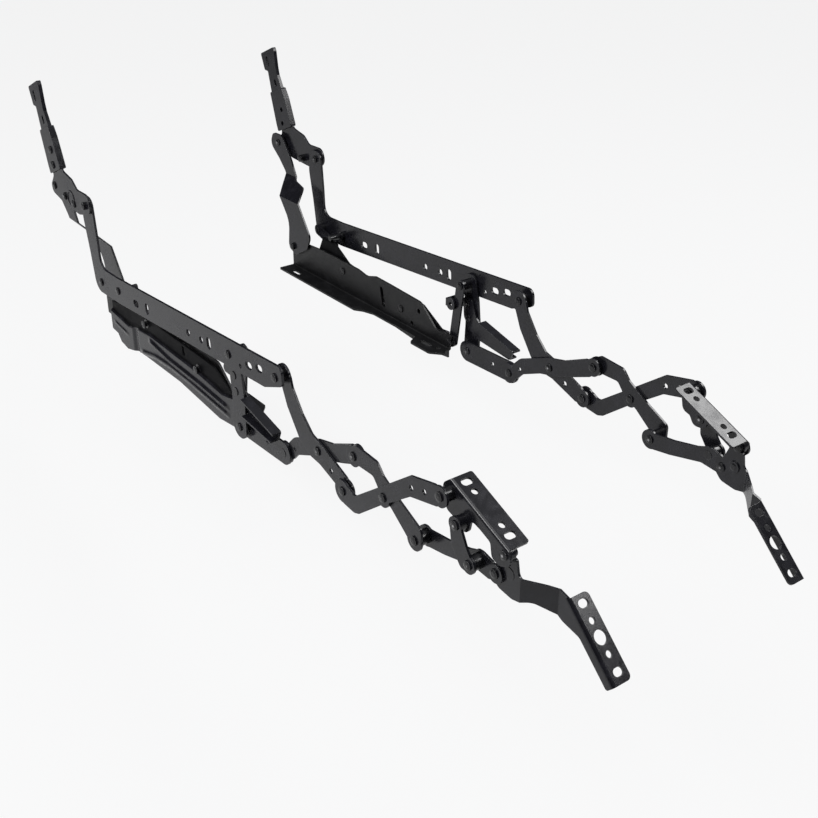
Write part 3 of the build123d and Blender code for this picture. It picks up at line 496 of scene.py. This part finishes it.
def enamel_material(name, colour, bare, roughness, wear, peel=PEEL):
    """Painted steel: drifting gloss, orange peel, smudges, and steel on worn edges."""
    material = bpy.data.materials.new(name)
    tree, output = cleared(material, "ShaderNodeOutputMaterial", (600, 0))
    shader = add(tree, "ShaderNodeBsdfPrincipled", (300, 0), {"IOR": 1.40})
    grain = add(tree, "ShaderNodeGroup", (-700, -100))
    grain.node_tree = shared_group("Enamel grain", grain_group)
    grain.inputs["Drift"].default_value = 0.22
    edges = add(tree, "ShaderNodeGroup", (-700, 300))
    edges.node_tree = shared_group("Edge wear", wear_group)
    edges.inputs["Amount"].default_value = wear
    colours = {"A": (*colour, 1.0), "B": (*[value * SMUDGE_LIGHTER for value in colour], 1.0)}
    tint = add(tree, "ShaderNodeMix", (-350, 250), colours, data_type="RGBA", blend_type="MIX")
    link(tree, grain, "Smudge", tint, "Factor")
    steel = {"B": (*bare, 1.0)}
    worn = add(tree, "ShaderNodeMix", (-50, 250), steel, data_type="RGBA", blend_type="MIX")
    link(tree, edges, "Mask", worn, "Factor")
    link(tree, tint, "Result", worn, "A")
    link(tree, worn, "Result", shader, "Base Color")
    clean = {1: roughness}
    drifted = add(tree, "ShaderNodeMath", (-350, -50), clean, operation="ADD", use_clamp=True)
    link(tree, grain, "Drift", drifted, 0)
    smudged = {1: SMUDGE_DULLER}
    dulled = add(
        tree, "ShaderNodeMath", (-50, -50), smudged, operation="MULTIPLY_ADD", use_clamp=True
    )
    link(tree, grain, "Smudge", dulled, 0)
    link(tree, drifted, 0, dulled, 2)
    link(tree, dulled, 0, shader, "Roughness")
    link(tree, edges, "Mask", shader, "Metallic")
    bump = add(tree, "ShaderNodeBump", (0, -350), {"Strength": 0.35, "Distance": peel})
    link(tree, grain, "Height", bump, "Height")
    link(tree, edges, "Normal", bump, "Normal")
    link(tree, bump, "Normal", shader, "Normal")
    link(tree, shader, "BSDF", output, "Surface")
    return material


class RECLINER_OT_paint(bpy.types.Operator):
    """Paint the pressed parts with black enamel, the rails in a darker black that paints their shade, and
    blacken the rivets
    """

    bl_idname = "recliner.paint"
    bl_label = "Paint the steel"

    def execute(self, context):
        paint = context.scene.recliner_paint
        enamel = enamel_material(
            "Black enamel",
            paint.enamel,
            paint.bare,
            paint.enamel_roughness,
            paint.edge_wear,
            FINE_PEEL,
        )
        rivet = enamel_material(
            "Blackened rivet",
            paint.rivet,
            paint.bare,
            paint.enamel_roughness - RIVET_SMOOTHER,
            paint.edge_wear * RIVET_WEAR,
        )
        # The rails get the darker, rougher black: painted shade of the channel under the seat bar.
        rail_painted_shade = enamel_material(
            "Dull rail black", paint.rail, paint.bare, paint.rail_roughness, paint.edge_wear
        )
        for name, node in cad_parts.items():
            chosen = rivet if name.endswith(RIVET_NODES) else enamel
            if name.endswith("base_rail"):
                chosen = rail_painted_shade
            for slot in node.material_slots:
                slot.material = chosen
        return {"FINISHED"}


def placed(x, s, z, side):
    """Points of the shared frame, in metres, from drawn X, s and Z of one side."""
    return np.stack([(x - ORIGIN_X) * MM, (s - SEAT_PLANE) * side * MM, (z - ORIGIN_Z) * MM], axis=-1)


def outer_head(layer, height=HEAD, sheet=SHEET):
    """Distance s of a head's face on the outer side of a layer."""
    return layer - sheet / 2 - height


def inner_head(layer, height=HEAD, sheet=SHEET):
    """Distance s of a head's face on the inner side of a layer."""
    return layer + sheet / 2 + height


def rivet_ends():
    """Body, place, and s of the outer and inner faces of each rivet, None for no crown."""
    seat_out = outer_head(S_SEAT, HEAD, SEAT_SHEET)
    seat_in = inner_head(S_SEAT, BACK_END, SEAT_SHEET)
    sleeve_out = SLEEVE_FACE - HEAD
    lever_in = inner_head(S_LINK_C, LEVER_HEAD)
    rail_in = inner_head(S_RAIL)
    plate_out = outer_head(S_OUTER_PLATE)
    return (
        ("seat", SEAT_REAR, seat_out, inner_head(S_LINK_A)),
        ("seat", SEAT_CRANK, seat_out, inner_head(S_FRONT_SUPPORT)),
        ("seat", SEAT_FRONT, seat_out, inner_head(S_LINK_A)),
        ("seat", STUD_AT, seat_out, None),
        ("back", BACK_PIVOT, outer_head(S_TOGGLE, BACK_HEAD), seat_in),
        ("back", REAR_LINK_TOP, outer_head(S_TOGGLE), inner_head(S_REAR_LINK_TOP)),
        ("back", SLEEVE_LOW, sleeve_out, None),
        ("back", SLEEVE_HIGH, sleeve_out, None),
        ("back", BOSS_AT, outer_head(S_TOGGLE, BOSS), None),
        ("back", STOP_AT, outer_head(S_TOGGLE), inner_head(S_TOGGLE, STOP_BOLT)),
        ("crank", CRANK_FOOT, outer_head(S_CRANK), inner_head(S_LINK_A)),
        ("crank", LEVER_HIGH, None, lever_in),
        ("crank", LEVER_LOW, None, lever_in),
        ("link_a", P1, outer_head(S_LINK_A), inner_head(S_LINK_B)),
        ("link_a", P2, outer_head(S_CRANK), inner_head(S_LINK_A)),
        ("link_b", P3, outer_head(S_LINK_C), inner_head(S_LINK_B)),
        ("link_b", TAIL, None, inner_head(S_LINK_B)),
        ("link_d", P4, outer_head(S_CRANK), inner_head(S_LINK_C)),
        ("link_d", OTTOMAN_REAR, outer_head(S_CRANK), inner_head(S_OTTOMAN)),
        ("link_e", P5, outer_head(S_LINK_C), inner_head(S_LINK_E)),
        ("link_e", FOOT_PIVOT, outer_head(S_LINK_E), None),
        ("strap", STRAP_FOOT, outer_head(S_LINK_C), None),
        ("ottoman", STRAP_TOP, outer_head(S_LINK_C), inner_head(S_OTTOMAN)),
        ("ottoman", OTTOMAN_FRONT, outer_head(S_OTTOMAN), inner_head(S_FOOT)),
        ("foot", FOOT_PIVOT, None, inner_head(S_FOOT)),
        ("foot", FOOT_STOP, None, inner_head(S_FOOT)),
        ("base", RAIL_RIVET_REAR, plate_out, rail_in),
        ("base", RAIL_RIVET_FRONT, plate_out, rail_in),
        ("base", REAR_LINK_FOOT, outer_head(S_RAIL), inner_head(S_REAR_LINK_FOOT, REAR_LINK_HEAD)),
        ("base", REAR_SUPPORT_FOOT, outer_head(S_LINK_A), inner_head(S_OUTER_PLATE)),
        ("base", FRONT_SUPPORT_FOOT, outer_head(S_FRONT_SUPPORT), rail_in),
    )


def crown_surface(centre, outward, radius, rings=7, sectors=32):
    """Low dome with a spun dimple: height falls as the 2.4th power of the radius.

    Points lie on rings about the Y axis, from the rim to one point at the middle, and the
    height is the dome's less a bell curve 1.2 mm wide at the centre.
    """
    share = np.linspace(1.0, 0.0, rings + 1)[:-1]
    share = np.append(share, share[-1] * INMOST_RING)
    turn = np.linspace(0.0, 2 * np.pi, sectors, endpoint=False) * outward
    spread = radius * share[:, None]
    dimple = DIMPLE * np.exp(-((share * radius / DIMPLE_WIDTH) ** 2))
    height = CROWN_RISE * (1.0 - share**CROWN_POWER) - dimple
    x = centre[0] + spread * np.sin(turn)
    z = centre[2] + spread * np.cos(turn)
    y = centre[1] + outward * np.repeat(height[:, None], sectors, axis=1)
    points = np.stack([x, y, z], axis=-1).reshape(-1, 3)
    tip = centre + np.array([0.0, outward * (CROWN_RISE - DIMPLE), 0.0])
    points = np.vstack([points, tip])
    ring, sector = np.meshgrid(np.arange(len(share) - 1), np.arange(sectors), indexing="ij")
    corner = ring * sectors + sector
    after = ring * sectors + (sector + 1) % sectors
    quads = np.stack([corner, after, after + sectors, corner + sectors], axis=-1).reshape(-1, 4)
    around = np.arange(sectors)
    last = (len(share) - 1) * sectors
    top = np.full(sectors, len(points) - 1)
    fan = np.stack([last + around, last + (around + 1) % sectors, top], axis=-1)
    shares = np.append(np.repeat(share, sectors), 0.0)
    return points, quads, fan, shares


def mesh_object(name, parts, material):
    """One smooth mesh object, with the share attribute.

    Each part is an array of points, one of quads, one of triangles, and its shares.
    """
    points, faces, shares, offset = [], [], [], 0
    for place, quads, fan, share in parts:
        points.append(place)
        faces += (quads + offset).tolist() + (fan + offset).tolist()
        shares.append(share)
        offset += len(place)
    mesh = bpy.data.meshes.new(name)
    mesh.from_pydata(np.concatenate(points).tolist(), [], faces)
    mesh.polygons.foreach_set("use_smooth", [True] * len(mesh.polygons))
    layer = mesh.attributes.new("share", "FLOAT", "POINT")
    layer.data.foreach_set("value", np.concatenate(shares))
    mesh.materials.append(material)
    return put_in(name, mesh)


def crown_material(paint):
    """Blackened crown, rubbed in places to bright steel round its spun centre."""
    material = enamel_material(
        "Spun crown", paint.rivet, paint.bare, paint.enamel_roughness, paint.edge_wear
    )
    tree = material.node_tree
    shader = principled(material)
    worn = shader.inputs["Base Color"].links[0].from_node
    share = add(tree, "ShaderNodeAttribute", (-700, 600), attribute_name="share")
    near = add(tree, "ShaderNodeMapRange", (-450, 600), {"From Min": 0.42, "From Max": 0.10})
    link(tree, share, "Fac", near, "Value")
    coords = add(tree, "ShaderNodeTexCoord", (-950, 800))
    noise = add(tree, "ShaderNodeTexNoise", (-700, 800), {"Scale": 38.0})
    link(tree, coords, "Object", noise, "Vector")
    some = add(tree, "ShaderNodeMapRange", (-450, 800), {"From Min": 0.50, "From Max": 0.58})
    link(tree, noise, "Fac", some, "Value")
    rub = add(tree, "ShaderNodeMath", (-200, 650), operation="MULTIPLY")
    link(tree, near, "Result", rub, 0)
    link(tree, some, "Result", rub, 1)
    link(tree, rub, 0, worn, "Factor")
    link(tree, rub, 0, shader, "Metallic")
    return material


class RECLINER_OT_crowns(bpy.types.Operator):
    """Set a spun crown on the end of every rivet that has room for one"""

    bl_idname = "recliner.crowns"
    bl_label = "Spin the rivet ends"

    def execute(self, context):
        paint = context.scene.recliner_paint
        material = crown_material(paint)
        for side, prefix in SIDES:
            by_body = {}
            for body, (x, z), outer, inner in rivet_ends():
                name = body if body == "base" else f"{prefix}_{body}"
                for s, outward in ((outer, -side), (inner, side)):
                    if s is not None:
                        centre = placed(x, s, z, side)
                        crown = crown_surface(centre, outward, paint.crown_radius)
                        by_body.setdefault(name, []).append(crown)
            for name, parts in by_body.items():
                made = mesh_object(f"crowns_{prefix}_{name}", parts, material)
                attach(made, name)
        return {"FINISHED"}


def thicken(made, thickness):
    """Give a sheet its thickness, on the side that its faces turn away from."""
    thick = made.modifiers.new("sheet", "SOLIDIFY")
    thick.thickness = thickness * MM
    thick.offset = -1.0


def line_height(line, x):
    """Height of a drawn line of points at each x."""
    table = np.array(line, dtype=float)
    return np.interp(x, table[:, 0], table[:, 1])


def plate_sheet(side, columns=270, band_rows=40):
    """Formed sheet of the outer plate: band with beads, a groove, and a recessed upper part.

    Columns run along X and rows from the foot to the top. A bead's height is a squared
    cosine across it, and it fades out over 12 mm at each end. The groove is a squared
    cosine along X, and the step at the brow is a smoothstep over 5 mm. The faces between
    the window's four edges, each of them a column or a row, are left out.
    """
    x = np.sort(np.append(np.linspace(PLATE_REAR, PLATE_FRONT, columns), WINDOW_X))
    band = np.linspace(0.0, 1.0, band_rows)
    upper = np.array(RECESS_ROWS)
    foot, brow, top = (line_height(line, x) for line in (PLATE_FOOT, PLATE_BROW, PLATE_TOP))
    z_band = foot[:, None] + (brow - foot)[:, None] * band[None, :]
    z_upper = brow[:, None] + (top - brow)[:, None] * upper[None, :]
    z = np.hstack([z_band, z_upper])
    s = np.full_like(z, PLATE_FACE)
    for line, height, half, start, end in BEADS:
        across = np.clip(np.abs(z - line_height(line, x)[:, None]) / half, 0.0, 1.0)
        fade = np.clip(np.minimum(x - start, end - x) / BEAD_FADE, 0.0, 1.0)[:, None]
        s -= height * fade * np.cos(across * np.pi / 2) ** 2
    along = np.clip(np.abs(x - GROOVE_X) / GROOVE_HALF, 0.0, 1.0)[:, None]
    grooved = z < brow[:, None] + GROOVE_OVER_BROW
    s += GROOVE_DEPTH * np.cos(along * np.pi / 2) ** 2 * grooved
    step = np.clip((z - brow[:, None]) / BROW_STEP, 0.0, 1.0)
    step = step * step * (3.0 - 2.0 * step)
    s = s * (1.0 - step) + PLATE_RECESS * step
    points = placed(np.repeat(x[:, None], z.shape[1], axis=1), s, z, side)
    rows = z.shape[1]
    column, row = np.meshgrid(np.arange(len(x) - 1), np.arange(rows - 1), indexing="ij")
    corner = column * rows + row
    quads = np.stack([corner, corner + rows, corner + rows + 1, corner + 1], axis=-1)
    open_columns = (x[:-1, None] >= WINDOW_X[0]) & (x[:-1, None] < WINDOW_X[1])
    level = np.append(np.zeros(len(band)), upper)
    open_rows = (level[None, :-1] >= WINDOW_ROWS[0]) & (level[None, :-1] < WINDOW_ROWS[1])
    quads = quads[~(open_columns & open_rows)]
    if side < 0:
        quads = quads[:, ::-1]
    return points.reshape(-1, 3), quads, step.reshape(-1)


class RECLINER_OT_outer_plates(bpy.types.Operator):
    """Form the beaded outer plates in place of their plain panels"""

    bl_idname = "recliner.outer_plates"
    bl_label = "Form the outer plates"

    def execute(self, context):
        paint = context.scene.recliner_paint
        band = enamel_material(
            "Plate enamel", paint.enamel, paint.bare, paint.enamel_roughness, paint.edge_wear
        )
        # The recess gets the darker black with little specular: painted shade between the seat bar and the
        # band.
        recess = enamel_material(
            "Plate recess", paint.rail, paint.bare, paint.rail_roughness, RECESS_WEAR
        )
        principled(recess).inputs["Specular IOR Level"].default_value = PAINTED_SHADE_SPECULAR
        no_fan = np.zeros((0, 3), dtype=int)
        for side, prefix in SIDES:
            points, quads, share = plate_sheet(side)
            made = mesh_object(f"{prefix}_formed_plate", [(points, quads, no_fan, share)], band)
            made.data.materials.append(recess)
            # Faces above the brow's step take the painted-shade black.
            painted_shade_faces = (share[quads].mean(axis=1) > 0.5).astype(np.int32)
            made.data.polygons.foreach_set("material_index", painted_shade_faces)
            thicken(made, PLATE_SHEET)
            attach(made, "base")
            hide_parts(f"{prefix}_outer_rail_plate")
        return {"FINISHED"}


def on_bar(along, up):
    """Place on the seat bar, or places, in its own tilted directions."""
    tilt = math.radians(BAR_TILT)
    return along * math.cos(tilt) - up * math.sin(tilt), along * math.sin(tilt) + up * math.cos(tilt)


def seat_corners():
    """Corners of the seat plate as X, Z and radius: the bar's, and then the rear arm's."""
    return (
        (-137.0, -23.5, 20.0),
        (*on_bar(BAR_REAR, BAR_FOOT + 1.0), 20.0),
        (*on_bar(BAR_FRONT - NOSE_CHAMFER, BAR_FOOT), 6.0),
        (*on_bar(BAR_FRONT, -3.0), 8.0),
        (*on_bar(BAR_FRONT, BAR_TOP - 2.0), 10.0),
        (*on_bar(BAR_REAR, BAR_TOP + 1.0), 30.0),
        (-114.0, 19.0, 18.0),
        (-116.0, 64.0, 60.0),
        (-121.0, 125.0, 14.0),
        (-152.0, 125.0, 13.0),
        (-157.0, 88.0, 40.0),
        (-147.0, 40.0, 60.0),
    )


def rounded_outline(corners, steps=9):
    """Closed line with an arc at every corner, from the corner's two tangent points."""
    table = np.array(corners)
    place, radius = table[:, :2], table[:, 2:]
    back, ahead = np.roll(place, 1, axis=0) - place, np.roll(place, -1, axis=0) - place
    back /= np.linalg.norm(back, axis=1, keepdims=True)
    ahead /= np.linalg.norm(ahead, axis=1, keepdims=True)
    half = np.arccos(np.clip((back * ahead).sum(axis=1, keepdims=True), -1.0, 1.0)) / 2
    middle = (back + ahead) / np.linalg.norm(back + ahead, axis=1, keepdims=True)
    centre = place + middle * radius / np.sin(half)
    start = place + back * radius / np.tan(half) - centre
    end = place + ahead * radius / np.tan(half) - centre
    first = np.arctan2(start[:, 1], start[:, 0])
    swing = (np.arctan2(end[:, 1], end[:, 0]) - first + np.pi) % (2 * np.pi) - np.pi
    turn = first[:, None] + swing[:, None] * np.linspace(0.0, 1.0, steps)
    x = centre[:, :1] + radius * np.cos(turn)
    z = centre[:, 1:] + radius * np.sin(turn)
    return np.stack([x, z], axis=-1).reshape(-1, 2)


def bar_opening(along, up, length, radius, turn, steps=16):
    """Obround on the tilted bar: a circle's halves, each moved out along its long axis."""
    angle = np.linspace(-np.pi / 2, 3 * np.pi / 2, 2 * steps, endpoint=False)
    reach = (length / 2 - radius) * np.where(np.arange(2 * steps) <= steps, 1.0, -1.0)
    x, z = reach + radius * np.cos(angle), radius * np.sin(angle)
    a = math.radians(turn)
    x, z = along + x * math.cos(a) - z * math.sin(a), up + x * math.sin(a) + z * math.cos(a)
    return np.stack(on_bar(x, z), axis=-1)


def pivot_opening(centre, steps=32):
    """Circle round a pivot."""
    turn = np.linspace(0.0, 2 * np.pi, steps, endpoint=False)
    return np.array(centre) + PIVOT_HOLE * np.stack([np.cos(turn), np.sin(turn)], axis=-1)


def flat_sheet(name, loops, face_s, side, material):
    """Flat pressing: an outline and its openings, filled between them.

    Each loop's points are joined in a ring, each to the one before it. They all lie in
    the plane of the sheet's outer side, and the faces between the rings point outwards.
    """
    drawn = np.concatenate(loops)
    points = placed(drawn[:, 0], np.full(len(drawn), face_s), drawn[:, 1], side)
    edges, first = [], 0
    for loop in loops:
        ring = first + np.arange(len(loop))
        edges.append(np.stack([ring, np.roll(ring, 1)], axis=-1))
        first += len(loop)
    mesh = bpy.data.meshes.new(name)
    mesh.from_pydata(points.tolist(), np.concatenate(edges).tolist(), [])
    work = bmesh.new()
    work.from_mesh(mesh)
    outward = (0.0, -side, 0.0)
    bmesh.ops.triangle_fill(work, edges=work.edges[:], use_beauty=True, normal=outward)
    inward = [face for face in work.faces if face.normal.y * side > 0]
    bmesh.ops.reverse_faces(work, faces=inward)
    work.to_mesh(mesh)
    work.free()
    mesh.materials.append(material)
    return put_in(name, mesh)


class RECLINER_OT_seat_plates(bpy.types.Operator):
    """Cut the seat plates with the wider openings of the real pressings"""

    bl_idname = "recliner.seat_plates"
    bl_label = "Cut the seat plates"

    def execute(self, context):
        material = bpy.data.materials["Black enamel"]
        loops = [rounded_outline(seat_corners())]
        loops += [bar_opening(*opening) for opening in SEAT_OPENINGS]
        loops += [pivot_opening(pivot) for pivot in SEAT_PIVOTS]
        face_s = S_SEAT - SEAT_SHEET / 2
        for side, prefix in SIDES:
            made = flat_sheet(f"{prefix}_cut_seat_plate", loops, face_s, side, material)
            thicken(made, SEAT_SHEET)
            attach(made, f"{prefix}_seat")
            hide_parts(f"{prefix}_seat_plate")
        return {"FINISHED"}


def floor_material(colour):
    """Pale paper: near white to the camera, soft grey to the light and to reflections."""
    material = bpy.data.materials.new("Pale paper")
    tree, output = cleared(material, "ShaderNodeOutputMaterial", (600, 0))
    paper = add(tree, "ShaderNodeBsdfDiffuse", (0, 100), {"Color": (*colour, 1.0)})
    glow = add(tree, "ShaderNodeEmission", (0, -100), {"Color": FLOOR_GLOW, "Strength": 1.0})
    path = add(tree, "ShaderNodeLightPath", (-500, 300))
    either = add(tree, "ShaderNodeMath", (-250, 250), operation="MAXIMUM")
    link(tree, path, "Is Camera Ray", either, 0)
    link(tree, path, "Is Transmission Ray", either, 1)
    share = add(tree, "ShaderNodeMath", (-50, 250), {1: FLOOR_GLOW_SHARE}, operation="MULTIPLY")
    link(tree, either, 0, share, 0)
    mix = add(tree, "ShaderNodeMixShader", (250, 0))
    link(tree, share, 0, mix, "Fac")
    link(tree, paper, "BSDF", mix, 1)
    link(tree, glow, "Emission", mix, 2)
    link(tree, mix, "Shader", output, "Surface")
    return material


def lay_floor(studio):
    """Square floor, below the lowest pose."""
    half = studio.floor_size / 2
    z = Vector(CAD_BOX[0]).z - studio.floor_drop
    mesh = bpy.data.meshes.new("floor")
    corners = [(-half, -half, z), (half, -half, z), (half, half, z), (-half, half, z)]
    mesh.from_pydata(corners, [], [(0, 1, 2, 3)])
    mesh.materials.append(floor_material(studio.floor_colour))
    floor = put_in("floor", mesh)


def light_room(scene, strength):
    """Room whose light grows smoothly with height, and a pale backdrop for the camera alone."""
    scene.world = bpy.data.worlds.new("Room")
    tree, output = cleared(scene.world, "ShaderNodeOutputWorld", (400, 0))
    coords = add(tree, "ShaderNodeTexCoord", (-900, 0))
    split = add(tree, "ShaderNodeSeparateXYZ", (-700, 0))
    rise = {"From Min": 0.50, "From Max": 0.95, "To Min": 0.06, "To Max": 1.0}
    high = add(tree, "ShaderNodeMapRange", (-450, 0), rise, interpolation_type="SMOOTHSTEP")
    scaled = add(tree, "ShaderNodeMath", (-200, 0), {1: strength}, operation="MULTIPLY")
    room_light = add(tree, "ShaderNodeBackground", (0, 0), {"Color": ROOM_COLOUR})
    link(tree, coords, "Generated", split, "Vector")
    link(tree, split, "Z", high, "Value")
    link(tree, high, "Result", scaled, 0)
    link(tree, scaled, 0, room_light, "Strength")
    backdrop = add(tree, "ShaderNodeBackground", (0, -150), {"Color": BACKDROP})
    path = add(tree, "ShaderNodeLightPath", (-200, 300))
    mix = add(tree, "ShaderNodeMixShader", (200, 0))
    link(tree, path, "Is Camera Ray", mix, "Fac")
    link(tree, room_light, "Background", mix, 1)
    link(tree, backdrop, "Background", mix, 2)
    link(tree, mix, "Shader", output, "Surface")


def hang_lamp(name, place, aim, size, power):
    """Softbox of a width and height, pointed at a place."""
    data = bpy.data.lights.new(name, "AREA")
    data.shape = "RECTANGLE"
    data.size, data.size_y = size
    data.energy = power
    lamp = put_in(name, data)
    lamp.location = place
    lamp.rotation_euler = (Vector(aim) - Vector(place)).to_track_quat("-Z", "Y").to_euler()


def place_camera(scene):
    """Camera at the photograph's place, turned by azimuth, elevation and roll."""
    data = bpy.data.cameras.new("camera")
    data.lens = CAMERA_LENS
    data.sensor_width = CAMERA_SENSOR
    data.clip_end = CAMERA_REACH
    turn = (
        Matrix.Rotation(math.radians(CAMERA_AZIMUTH), 4, "Z")
        @ Matrix.Rotation(math.radians(90.0 - CAMERA_ELEVATION), 4, "X")
        @ Matrix.Rotation(math.radians(CAMERA_ROLL), 4, "Z")
    )
    camera = put_in("camera", data)
    camera.matrix_world = Matrix.Translation(CAMERA_AT) @ turn
    scene.camera = camera


class RECLINER_OT_studio(bpy.types.Operator):
    """Set the pale floor, the room, the soft lamps and the camera"""

    bl_idname = "recliner.studio"
    bl_label = "Set the studio"

    def execute(self, context):
        studio = context.scene.recliner_studio
        lay_floor(studio)
        light_room(context.scene, studio.world_strength)
        for name, place, aim, size, setting in LAMPS:
            hang_lamp(name, place, aim, size, getattr(studio, setting))
        place_camera(context.scene)
        context.scene.view_settings.view_transform = "Standard"
        return {"FINISHED"}


class RECLINER_PT_panel(bpy.types.Panel):
    """Lists the settings and the steps in the sidebar"""

    bl_label = "Recliner mechanism"
    bl_space_type = "VIEW_3D"
    bl_region_type = "UI"
    bl_category = "Recliner"

    def draw(self, context):
        layout = self.layout
        for settings in (context.scene.recliner_paint, context.scene.recliner_studio):
            box = layout.box()
            for name in settings.bl_rna.properties.keys():
                if name not in ("rna_type", "name"):
                    box.prop(settings, name)
        for operator in STEPS:
            layout.operator(operator.bl_idname)


STEPS = (
    RECLINER_OT_paint,
    RECLINER_OT_crowns,
    RECLINER_OT_outer_plates,
    RECLINER_OT_seat_plates,
    RECLINER_OT_studio,
)
CLASSES = (PaintSettings, StudioSettings, *STEPS, RECLINER_PT_panel)


def register():
    for one in CLASSES:
        bpy.utils.register_class(one)
    bpy.types.Scene.recliner_paint = bpy.props.PointerProperty(type=PaintSettings)
    bpy.types.Scene.recliner_studio = bpy.props.PointerProperty(type=StudioSettings)


def unregister():
    del bpy.types.Scene.recliner_studio
    del bpy.types.Scene.recliner_paint
    for one in reversed(CLASSES):
        bpy.utils.unregister_class(one)


def main():
    """Run every step in order."""
    register()
    bpy.ops.recliner.paint()
    bpy.ops.recliner.crowns()
    bpy.ops.recliner.outer_plates()
    bpy.ops.recliner.seat_plates()
    bpy.ops.recliner.studio()


if __name__ == "__main__":
    main()
